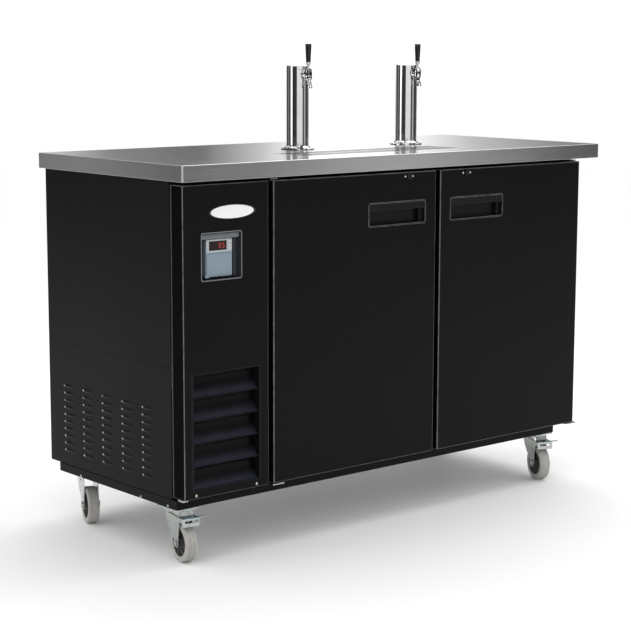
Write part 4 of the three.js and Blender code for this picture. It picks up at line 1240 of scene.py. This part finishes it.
head_depth = 1.3 * mm
head_low = Vector((case_low.x + 0.8 * mm, case_high.z - 33 * mm))
head_high = flat(case_high) - Vector((0.8, 0.8)) * mm
head_pockets = [(*grown(display_low, display_high, -0.5 * mm), 1.5 * mm, head_depth)]
head_pockets += [(*grown(flat(first), flat(last), 0.4 * mm), 1 * mm, head_depth) for first, last in keys]
head_front = case_low.y - head_depth
head = front_plate(head_low, head_high, 2.5 * mm, head_depth, head_front, head_pockets, 0.35 * mm)
make_piece("controller_head", head, bezel_silver, "cabinet")

plate_low = flat(case_low) + Vector((3, 4)) * mm
plate_high = flat(case_high) - Vector((3, 37)) * mm
cover_plate = front_plate(plate_low, plate_high, 4 * mm, 1.6 * mm, case_low.y - 1.4 * mm, (), 0.7 * mm, 3)
make_piece("controller_cover", cover_plate, controller_grey, "cabinet")

# %% Display and its digits
glass = front_plate(display_low, display_high, 1 * mm, 1.5 * mm, case_low.y + 0.4 * mm, (), 0.2 * mm)
make_piece("controller_display", glass, display_black, "cabinet")

lit_segments = {"3": "abcdg", "5": "acdfg"}
digit_height = 12 * mm
stroke = 1.5 * mm


def digit(left, bottom, shown):
    """One seven-segment digit from short bars, named a to g clockwise with g in the middle."""
    width = digit_height * 0.52
    half = digit_height / 2
    flat_bars = {"a": 2 * half, "g": half, "d": 0}
    upright_bars = {"f": (0, half), "b": (width, half), "e": (0, 0), "c": (width, 0)}
    shape = bmesh.new()
    front = case_low.y + 0.1 * mm
    for name in lit_segments[shown]:
        if name in flat_bars:
            start = Vector((left + stroke * 0.7, front, bottom + flat_bars[name] - stroke / 2))
            size = Vector((width - stroke * 1.4, 0.25 * mm, stroke))
        else:
            across, up = upright_bars[name]
            start = Vector((left + across - stroke / 2, front, bottom + up + stroke * 0.7))
            size = Vector((stroke, 0.25 * mm, half - stroke * 1.4))
        add(shape, block(start, start + size))
    return shape


digits = bmesh.new()
digit_bottom = (display_low.y + display_high.y - digit_height) / 2
for index, shown in enumerate("35"):
    add(digits, digit(display_high.x - 26 * mm + index * 13 * mm, digit_bottom, shown))
point = Vector((display_high.x - 15.5 * mm, case_low.y + 0.1 * mm, digit_bottom - stroke / 2))
add(digits, block(point, point + Vector((stroke, 0.25 * mm, stroke))))
make_piece("display_digits", digits, digit_red, "cabinet")

# %% Keys, hood, clip and screw
for name, (first, last) in zip(("button_up", "button_set", "button_down"), keys):
    key = front_plate(flat(first), flat(last), 1 * mm, last.y - first.y, first.y)
    key_front = [e for e in sharp_edges(key) if all(abs(v.co.y - first.y) < 0.05 * mm for v in e.verts)]
    make_piece(name + "_cap", soften(key, key_front, 0.6 * mm, 3), key_grey, name, name)

hood_low = Vector((window_low.x + 3 * mm, panel_low.y + 3.5 * mm, case_high.z + 1 * mm))
hood_high = Vector((window_high.x - 3 * mm, case_high.y - 1 * mm, window_high.y - 2 * mm))
hood = block(hood_low, hood_high)
soften(hood, outline_edges(hood, hood_low, hood_high), 4 * mm, 4)
make_piece("window_hood", hood, hood_grey, "cabinet")
clip_low = flat(case_low) - Vector((3, 2)) * mm
clip_high = flat(case_low) + Vector((9, 7)) * mm
clip = front_plate(clip_low, clip_high, 2 * mm, 6 * mm, case_low.y - 2.2 * mm, (), 0.8 * mm, 3)
make_piece("controller_clip", clip, controller_grey, "cabinet")
case_screw = screw((span_x(0.5), case_low.y, case_low.z + 2.2 * mm), "-y", 2.4, 1.6)
make_piece("controller_screw", case_screw, zinc, "cabinet")

# %% Badge
# A blank oval: a domed enamel face in a thin dark rim. A disc is spun and then flattened into the oval.
badge_low, badge_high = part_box("badge_plate")
badge_middle = (badge_low + badge_high) / 2
half_width = (badge_high.x - badge_low.x) / 2
oval = Matrix.Diagonal((1, 1, (badge_high.z - badge_low.z) / (badge_high.x - badge_low.x), 1))


def oval_disc(profile):
    bm = spun(profile, (0, 0, 0), "-y", 72)
    shape = Matrix.Translation((badge_middle.x, badge_high.y, badge_middle.z)) @ oval
    bmesh.ops.transform(bm, matrix=shape, verts=bm.verts)
    return bm


edge = half_width / mm
face_profile = [(0, 1.45), (0.5, 1.4), (0.9, 1.05), (0.93, 0.4), (0.93, 0), (0, 0)]
face_disc = oval_disc([(edge * share, height) for share, height in face_profile])
make_piece("badge_face", face_disc, enamel, "cabinet", "badge_plate")
rim_profile = [(0.925, 0), (1, 0), (1, 0.8), (0.985, 1.3), (0.945, 1.3), (0.925, 0.9), (0.925, 0)]
rim_disc = oval_disc([(edge * share, height) for share, height in rim_profile])
make_piece("badge_rim", rim_disc, rim_black, "cabinet")

# %% [markdown]
# ## Air grille
#
# Five wide blades shed anything spilt over them. Each is a scoop seen from its hollow side: its lip is
# level and points forward, and its back stands upright in the shade of the blade above. An open curve is
# pushed along the grille and then given its wall, which keeps the blade's two faces parallel.

# %% Blade plastic with painted light
grille_low, grille_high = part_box("louvre_grille")
blade_count = 5
blade_pitch = (grille_high.z - grille_low.z - 7.4 * mm) / blade_count
blade_height = blade_pitch * 0.8
blade_reach = 21 * mm
blade_start = grille_low.z + 5 * mm

# The level lips are painted paler and bluer as a painted highlight, and the rest of each blade is painted black
# as painted shade under the blade above.
blade_plastic = Shader("dusty_blade_plastic", "black_plastic")
turns = (blade_plastic.along("Z") - blade_start) / blade_pitch
up_the_blade = blade_plastic.math_of("FRACT", turns)
lit_lip = blade_plastic.between(up_the_blade + blade_plastic.noise(22, 3) * 0.12, 0.02, 0.55, 1, 0)
blade_plastic.finish(
    base_color=blade_plastic.blend(lit_lip ** 1.6, (0.0012, 0.0013, 0.0013), (0.026, 0.028, 0.044)),
    roughness=blade_plastic.between(lit_lip, 0, 1, 0.34, 0.5),
    specular_ior_level=0.10,
)

# %% Grille frame and blades
frame_hole = (flat(grille_low) + Vector((8, 4)) * mm, flat(grille_high) - Vector((8, 4)) * mm)
grille_depth = grille_high.y - grille_low.y
frame_pocket = (*frame_hole, 2 * mm, grille_depth)
grille_frame = front_plate(
    flat(grille_low), flat(grille_high), 3 * mm, grille_depth, grille_low.y, [frame_pocket], 0.7 * mm, 3
)
make_piece("grille_frame", grille_frame, black_plastic, "cabinet", "louvre_grille")


def blade_curve(t):
    """A point of the scoop: t is 0 at the upright back edge and 1 at the level front lip."""
    return blade_reach * (1 - t ** 2), blade_height * (1 - t) ** 2


def make_blade(index):
    bottom = blade_start + index * blade_pitch
    front = grille_low.y + 2.4 * mm
    bm = bmesh.new()
    left = frame_hole[0].x - 0.5 * mm
    curve = [blade_curve(step / 14) for step in range(15)]
    verts = [bm.verts.new((left, front + depth, bottom + rise)) for depth, rise in curve]
    edges = [bm.edges.new(pair) for pair in zip(verts, verts[1:])]
    made = bmesh.ops.extrude_edge_only(bm, edges=edges)["geom"]
    moved = [item for item in made if isinstance(item, bmesh.types.BMVert)]
    bmesh.ops.translate(bm, verts=moved, vec=(frame_hole[1].x - frame_hole[0].x + 1 * mm, 0, 0))
    bmesh.ops.recalc_face_normals(bm, faces=bm.faces)
    bmesh.ops.solidify(bm, geom=bm.faces[:], thickness=2.4 * mm)
    bmesh.ops.recalc_face_normals(bm, faces=bm.faces)
    make_piece(f"grille_blade_{index + 1}", eased(bm, 0.6 * mm, 3, 50), blade_plastic, "cabinet")


for index in range(blade_count):
    make_blade(index)

# %% Grille rivets and panel screws
rivets = bmesh.new()
for index in range(blade_count):
    z = grille_low.z + 14 * mm + index * blade_pitch
    for x in (grille_low.x + 4 * mm, grille_high.x - 4 * mm):
        rivet = [(0, 1.7), (1.6, 1.4), (2.6, 0.5), (2.8, 0), (0, 0)]
        add(rivets, spun(rivet, (x, grille_low.y, z), "-y", 16))
make_piece("grille_rivets", rivets, black_plastic, "cabinet")
panel_screws = bmesh.new()
for x in (grille_low.x + 14 * mm, grille_high.x - 18 * mm):
    add(panel_screws, screw((x, panel_low.y, panel_low.z + 9 * mm), "-y", 4.2, 2.0))
make_piece("panel_screws", panel_screws, zinc, "cabinet")
tab_low = Vector((panel_low.x, panel_low.y + 8 * mm, panel_low.z - 5 * mm))
tab = block(tab_low, tab_low + Vector((16, 22, 4.6)) * mm)
make_piece("panel_foot_tab", eased(tab, 0.8 * mm), zinc, "cabinet")

# %% [markdown]
# ## Towers and faucets
#
# Everything on a tower is turned and polished, so everything here is a spun profile. The profiles carry
# the small rounds and grooves that a lathe leaves, because polished metal shows them as lines: the groove
# under the cap and the round at the flange's foot are less than a millimetre deep and still visible.

# %% Column and flange
column_radius = 31.75


def make_column(tower):
    low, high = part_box(tower + "_column")
    middle = (low + high) / 2
    base = (middle.x, middle.y, low.z)
    height = (high.z - low.z) / mm
    flange = (high.x - low.x) / 2 / mm
    groove = column_radius - 0.5
    radius = column_radius
    column = spun([
        (22, 0), (flange - 0.4, 0), (flange, 0.5), (flange, 1.9), (flange - 0.8, 3.0), (40, 4.4),
        (36, 6.6), (33.2, 9.2), (32.1, 10.6), (radius, 12),
        (radius, height - 11), (groove, height - 10.6), (groove, height - 10.0), (radius, height - 9.6),
        (radius, height - 3.0), (groove, height - 1.4), (radius - 1.6, height - 0.4), (radius - 3.2, height),
        (0, height), (0, height - 4), (22, height - 4), (22, 0),
    ], base, steps=72)
    # The flange's foot takes the chrome with painted reflections.
    paint(column, 1, lambda face: face.calc_center_median().z < low.z + 12 * mm)
    make_piece(tower + "_chrome_column", column, [chrome, faucet_chrome], "cabinet", tower + "_column")
    bolts = bmesh.new()
    for index in range(4):
        turn = math.radians(45 + 90 * index)
        place = Vector(base) + Vector((41.5 * math.cos(turn), 41.5 * math.sin(turn), 3.4)) * mm
        add(bolts, screw(place, "z", 3.6, 2.4))
    make_piece(tower + "_flange_screws", bolts, chrome, "cabinet")


# %% Faucet
def make_faucet(tower):
    column_low, column_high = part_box(tower + "_column")
    x, y, z = joints[tower + "_pull"]["pos_m"]
    axis_height = z - 17 * mm
    column_y = (column_low.y + column_high.y) / 2
    front = Vector((x, y, axis_height))
    wall = column_y - column_radius * mm
    collar = [(8, -0.5), (12.5, -0.5), (12.5, 0.8), (11.5, 2.4), (8, 2.4), (8, -0.5)]
    nut = [
        (7.8, 0), (13.2, 0), (13.9, 0.7), (13.9, 3.2), (13.3, 3.6), (13.3, 4.2), (13.9, 4.6),
        (13.9, 8.6), (13.2, 9.3), (11, 10), (7.8, 10), (7.8, 0),
    ]
    body = [
        (0, -17), (7.6, -17), (8.2, -16.3), (8.8, -14), (9.8, -12.5), (10, -11), (10.8, -9.8), (10.8, 6.8),
        (10, 8.4), (10, 10), (10.6, 10.7), (10.6, 12.3), (9.2, 12.8), (8.9, 14.6), (8.1, 17), (6.7, 17),
        (6.2, 15.6), (5.4, 13), (0, 12.6),
    ]
    faucet = spun(body, front, "z", 48)
    add(faucet, bar((x, wall + 12 * mm, axis_height), "-y", (wall + 12 * mm - y) / mm - 6, 7.8, 32))
    add(faucet, spun(collar, (x, wall + 0.6 * mm, axis_height), "-y", 40))
    add(faucet, spun(nut, (x, wall - 1.2 * mm, axis_height), "-y", 48))
    spout_route = [(0, 0, -12), (0, -1, -18), (0, -4, -25), (0, -7, -31), (0, -7, -36)]
    add(faucet, pipe([front + Vector(point) * mm for point in spout_route], 6.2 * mm, 20))
    tip = [(4.4, -2.4), (6.4, -2.4), (6.7, -1.8), (6.7, 1.8), (6.2, 2.4), (4.4, 2.4), (4.4, -2.4)]
    add(faucet, spun(tip, front + Vector((0, -7, -35)) * mm, "z", 32))
    make_piece(tower + "_chrome_faucet", faucet, faucet_chrome, "cabinet", tower + "_faucet")


# %% Tap handle
def make_handle(tower):
    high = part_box(tower + "_handle")[1]
    x, y, z = joints[tower + "_pull"]["pos_m"]
    top = (high.z - z) / mm
    lever = [
        (0, -4), (2, -3.5), (3.5, -2), (4, 0), (3.6, 1.8), (2.7, 3), (2.7, 8), (4.4, 8.4), (5.4, 9.2),
        (6.3, 11.6), (6.5, 13), (6.2, 13.6), (6.5, 14.2), (6.5, 17), (0, 17),
    ]
    body = tower + "_handle"
    make_piece(tower + "_ferrule", spun(lever, (x, y, z), steps=40), chrome, body, body)
    grip = spun([
        (0, 17.2), (6.2, 17.2), (6.6, 17.8), (8.6, top - 7), (8.9, top - 5.2), (8.4, top - 4.6),
        (8.4, top - 3.8), (9, top - 3.2), (9, top - 1), (8.2, top - 0.1), (6, top), (0, top),
    ], (x, y, z), steps=48)
    flutes = 12
    for vert in grip.verts:
        across = Vector((vert.co.x - x, vert.co.y - y))
        height = (vert.co.z - z) / mm
        if 18.5 < height + 1 < top - 6 and across.length > 3 * mm:
            dip = 1 - 0.05 * (0.5 + 0.5 * math.cos(flutes * math.atan2(across.y, across.x)))
            vert.co.x, vert.co.y = x + across.x * dip, y + across.y * dip
    make_piece(tower + "_grip", grip, grip_black, body)


for tower in ("tower_left", "tower_right"):
    make_column(tower)
    make_faucet(tower)
    make_handle(tower)

# %% [markdown]
# ## Casters
#
# Four plate casters carry the cabinet, and the front two have brakes. Each is built once in its own upright
# frame, with the wheel trailing along -Y, and then stood at the place and turn that its joints give. So a
# single set of functions makes all four, whichever way they happen to point.

# %% Where a caster stands
def caster_frame(name):
    """The matrix that stands a caster's own frame on the floor under its swivel axis."""
    x, y, _ = joints[name + "_swivel"]["pos_m"]
    along = joints[name + "_roll"]["axis"]
    return Matrix.Translation((x, y, 0)) @ Matrix.Rotation(math.atan2(along[1], along[0]), 4, "Z")


def stood(bm, matrix):
    bmesh.ops.transform(bm, matrix=matrix, verts=bm.verts)
    return bm


casters = ["caster_front_left", "caster_front_right", "caster_rear_left", "caster_rear_right"]
axle_height = joints["caster_front_left_roll"]["pos_m"][2]
swivel = Vector(joints["caster_front_left_swivel"]["pos_m"]).xy
axle = Vector(joints["caster_front_left_roll"]["pos_m"]).xy
trail = (axle - swivel).length
print("axle height", round(axle_height / mm, 1), "trail", round(trail / mm, 1))


# %% Mounting plate
def make_caster_plate(name):
    low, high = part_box(name + "_plate")
    middle = (low + high) / 2
    reach = (high - low).xy / 2
    bolt_reach = reach - Vector((10.5, 10.5)) * mm
    places = [Vector((sx * bolt_reach.x, sy * bolt_reach.y)) for sx in (-1, 1) for sy in (-1, 1)]
    slot_half = Vector((4.3, 7)) * mm
    holes = [(place - slot_half, place + slot_half, 4.2 * mm, high.z - low.z) for place in places]
    plate = slab(-reach, reach, 6 * mm, high.z - low.z, holes)
    bmesh.ops.translate(plate, verts=plate.verts, vec=(middle.x, middle.y, high.z))
    eased(plate, 0.6 * mm)
    make_piece(name + "_mount_plate", plate, zinc, "cabinet", name + "_plate")
    bolts = bmesh.new()
    for place in places:
        # The fork's corners pass a millimetre below the plate, so the bolts have nearly flush heads.
        head = spun([(0, 0.8), (4.8, 0.7), (6.2, 0.2), (6.2, 0), (0, 0)], steps=20)
        under = Matrix.Translation((*(middle.xy + place), low.z))
        add(bolts, stood(head, under @ Matrix.Rotation(math.pi, 4, "X")))
    make_piece(name + "_mount_bolts", bolts, zinc, "cabinet")


# %% Fork
def make_fork(name):
    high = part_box(name + "_fork")[1]
    fork = eased(copy_of(name + "_fork"), 0.5 * mm, 2, 45)
    make_piece(name + "_pressed_fork", fork, zinc, name + "_swivel", name + "_fork")
    turn = caster_frame(name)
    top = high.z / mm
    race = [
        (20, top - 9), (24, top - 9), (29, top - 7.5), (31.5, top - 5), (32, top - 3), (31, top - 0.6),
        (29.5, top - 0.1), (20, top - 0.1), (20, top - 9),
    ]
    raceway = stood(spun(race, (0, 0, 0), steps=48), turn)
    make_piece(name + "_raceway", raceway, zinc, name + "_swivel")
    outer = 25.4 * mm
    ends = bmesh.new()
    for side in (-1, 1):
        outward = Matrix.Rotation(side * math.pi / 2, 4, "Y")
        head = hex_head((0, 0, 0), "z", 7.4, 4.6)
        place = Matrix.Translation((side * (outer - 4.4 * mm), -trail, axle_height))
        add(ends, stood(head, place @ outward))
        rivet = spun([(0, 2.4), (2.2, 2.1), (3.8, 1.0), (4.4, 0), (0, 0)], steps=18)
        place = Matrix.Translation((side * 21.4 * mm, -trail * 0.35, high.z - 18 * mm))
        add(ends, stood(rivet, place @ outward))
    make_piece(name + "_axle_bolts", stood(ends, turn), zinc, name + "_swivel")


# %% [markdown]
# A wheel is two pieces moulded together: a tyre of soft grey polyurethane and a darker hub. The tyre has four
# fine lines round it from its mould, and the hub's face is dished with eight ribs that run out to its rim.

# %% Wheel
def make_wheel(name):
    stand = caster_frame(name) @ Matrix.Translation((0, -trail, axle_height)) @ turn_to["x"]
    radius = axle_height / mm
    half = [(36.5, 14.2), (45.8, 16), (48.2, 15.4), (49.9, 13.6), (radius - 0.1, 11.2)]
    bed = radius - 1.1
    for line in (8.5, 3.5):
        half += [(radius, line + 0.9), (bed, line + 0.5), (bed, line - 0.5), (radius, line - 0.9)]
    tyre_profile = half + [(r, -h) for r, h in reversed(half)] + [(36.5, 14.2)]
    tyre = stood(spun(tyre_profile, steps=64), stand)
    make_piece(name + "_tyre", tyre, tread, name + "_wheel", name + "_wheel")
    half = [
        (6.6, 16), (12.6, 16), (13.4, 15.4), (14.6, 12.4), (16, 11.4),
        (31, 10.8), (33, 12.4), (34.2, 14.4), (36.2, 14.6), (36.7, 14),
    ]
    hub_profile = half + [(r, -h) for r, h in reversed(half)] + [(6.6, 16)]
    hub_shape = spun(hub_profile, steps=64)
    rib_count = 8
    for side in (-1, 1):
        for index in range(rib_count):
            rib = block((14 * mm, -1.1 * mm, 9 * mm), (33.5 * mm, 1.1 * mm, 13.4 * mm))
            eased(rib, 0.5 * mm, 1)
            spot = Matrix.Rotation(index * math.tau / rib_count, 4, "Z") @ Matrix.Diagonal((1, 1, side, 1))
            stood(rib, spot)
            bmesh.ops.recalc_face_normals(rib, faces=rib.faces)
            add(hub_shape, rib)
    make_piece(name + "_hub", stood(hub_shape, stand), hub, name + "_wheel")


# %% Brake
def make_brake(name):
    cover = eased(copy_of(name + "_brake"), 0.7 * mm, 3, 45)
    paint(cover, 1, lambda face: face.normal.z > 0.7)
    make_piece(name + "_brake_cover", cover, [zinc, blue_zinc], name + "_brake", name + "_brake")


for name in casters:
    make_caster_plate(name)
    make_fork(name)
    make_wheel(name)
    if "front" in name:
        make_brake(name)

# %% [markdown]
# ## Inside the cabinet
#
# The cold side is a fan coil under the ceiling of the keg space. The warm side sits in the machine bay
# behind the grille: a finned condenser, its fan in a shroud, and a compressor dome. Little of it shows,
# but what shows through the grille has to be something real.

# %% Condenser and copper bends
cond_low, cond_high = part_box("condenser")
condenser = copy_of("condenser")
make_piece("condenser_block", eased(condenser, 0.6 * mm, 1), fins, "cabinet", "condenser")
bends = bmesh.new()
rows = 6
row_pitch = (cond_high.z - cond_low.z - 40 * mm) / rows
middle_y = (cond_low.y + cond_high.y) / 2
for side, x in ((-1, cond_low.x), (1, cond_high.x)):
    for index in range(rows):
        z = cond_low.z + 20 * mm + (index + 0.25) * row_pitch
        reach = side * 11 * mm
        top = z + row_pitch / 2
        route = [(x, middle_y, z), (x + reach, middle_y, z), (x + reach, middle_y, top), (x, middle_y, top)]
        add(bends, pipe(route, 3.6 * mm, 12))
make_piece("condenser_bends", bends, copper, "cabinet")
shroud = eased(copy_of("fan_shroud"), 0.8 * mm, 2, 45)
make_piece("fan_ring", shroud, black_paint, "cabinet", "fan_shroud")

# %% Compressor
comp_low, comp_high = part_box("compressor")
comp_middle = (comp_low + comp_high) / 2
base = (comp_middle.x, comp_middle.y, comp_low.z + 14 * mm)
dome = spun([
    (0, 0), (70, 0), (78, 4), (81.5, 12), (82, 20), (82, 66), (83.4, 67), (83.6, 70), (83.4, 73), (82, 74),
    (82, 96), (79.5, 116), (72, 134), (60, 148), (42, 158.5), (20, 163), (0, 164),
], base, steps=56)
make_piece("compressor_dome", dome, black_paint, "cabinet", "compressor")
foot_low = Vector((comp_low.x, comp_middle.y - 60 * mm, comp_low.z))
feet = block(foot_low, (comp_high.x, comp_middle.y + 60 * mm, comp_low.z + 3 * mm))
for sx in (-1, 1):
    for sy in (-1, 1):
        spot = (comp_middle.x + sx * 80 * mm, comp_middle.y + sy * 46 * mm, comp_low.z + 3 * mm)
        add(feet, bar(spot, "z", 10, 11, 20, 2), hex_head(Vector(spot) + Vector((0, 0, 10 * mm)), "z", 6, 5))
make_piece("compressor_feet", feet, zinc, "cabinet")
terminal_low = Vector((comp_middle.x + 62 * mm, comp_middle.y - 30 * mm, comp_low.z + 60 * mm))
terminal = block(terminal_low, terminal_low + Vector((32, 60, 56)) * mm)
make_piece("compressor_terminal_cover", eased(terminal, 3 * mm, 3), black_plastic, "cabinet")
inlet_corner = Vector((cond_low.x, cond_high.y, cond_high.z))
lines = pipe([
    comp_middle + Vector((-40, 30, 80)) * mm,
    comp_middle + Vector((-40, 30, 130)) * mm,
    comp_middle + Vector((-60, -60, 130)) * mm,
    inlet_corner + Vector((20, 60, -20)) * mm,
    inlet_corner + Vector((6, -6, -30)) * mm,
], 4 * mm, 12)
make_piece("discharge_line", lines, copper, "cabinet")

# %% Evaporator and the fans
evaporator = eased(copy_of("evaporator_housing"), 1.2 * mm, 2, 45)
make_piece("evaporator_cover", evaporator, liner, "cabinet", "evaporator_housing")
guard_middle = sum(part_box("evaporator_fan"), Vector()) / 2
guard_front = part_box("evaporator_housing")[0].y
guard = bmesh.new()
for radius in (10, 20, 30, 40, 50):
    ring = [(radius - 1, 0), (radius, 1), (radius + 1, 0), (radius, -1), (radius - 1, 0)]
    add(guard, spun(ring, (guard_middle.x, guard_front - 1.2 * mm, guard_middle.z), "-y", 48))
for index in range(4):
    turn = index * math.pi / 4
    arm = Vector((math.cos(turn), 0, math.sin(turn))) * 51 * mm
    centre = Vector((guard_middle.x, guard_front - 2.6 * mm, guard_middle.z))
    add(guard, pipe([centre - arm, centre, centre + arm], 1 * mm, 8))
make_piece("evaporator_fan_guard", guard, zinc, "cabinet")


def make_fan(node, blades, hub_radius):
    """A moulded fan: a domed hub and twisted blades that widen towards their tips."""
    low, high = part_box(node)
    middle = (low + high) / 2
    radius = (high.x - low.x) / 2 / mm
    depth = (high.y - low.y) / 2 / mm
    rotor = spun([
        (0, depth), (hub_radius * 0.6, depth - 0.6), (hub_radius - 1, depth - 2.5), (hub_radius, depth - 5),
        (hub_radius, -depth + 1), (hub_radius - 1, -depth), (0, -depth),
    ], middle, "-y", 36)
    for index in range(blades):
        bm = bmesh.new()
        bmesh.ops.create_grid(bm, x_segments=8, y_segments=6, size=0.5)
        for vert in bm.verts:
            out = hub_radius - 1 + (vert.co.x + 0.5) * (radius - hub_radius - 0.5)
            across = vert.co.y * (0.5 + 0.5 * (out / radius)) * radius * 0.8
            pitch = math.radians(40 - 18 * out / radius)
            sweep = 0.25 * (out / radius) ** 2
            angle = sweep + across * math.cos(pitch) / max(out, 1)
            lift = max(-depth + 1, min(depth - 1, across * math.sin(pitch)))
            vert.co = Vector((out * math.cos(angle), lift, out * math.sin(angle))) * mm
        bmesh.ops.recalc_face_normals(bm, faces=bm.faces)
        bmesh.ops.solidify(bm, geom=bm.faces[:], thickness=1.4 * mm)
        bmesh.ops.recalc_face_normals(bm, faces=bm.faces)
        place = Matrix.Translation(middle) @ Matrix.Rotation(index * math.tau / blades, 4, "Y")
        add(rotor, stood(bm, place))
    make_piece(node + "_rotor", rotor, black_plastic, node, node)


make_fan("condenser_fan", 4, 22)
make_fan("evaporator_fan", 5, 14)

# %% Drain pipe
drain = copy_of("drain_tube")
make_piece("drain_pipe", drain, black_plastic, "cabinet", "drain_tube", crease=60)
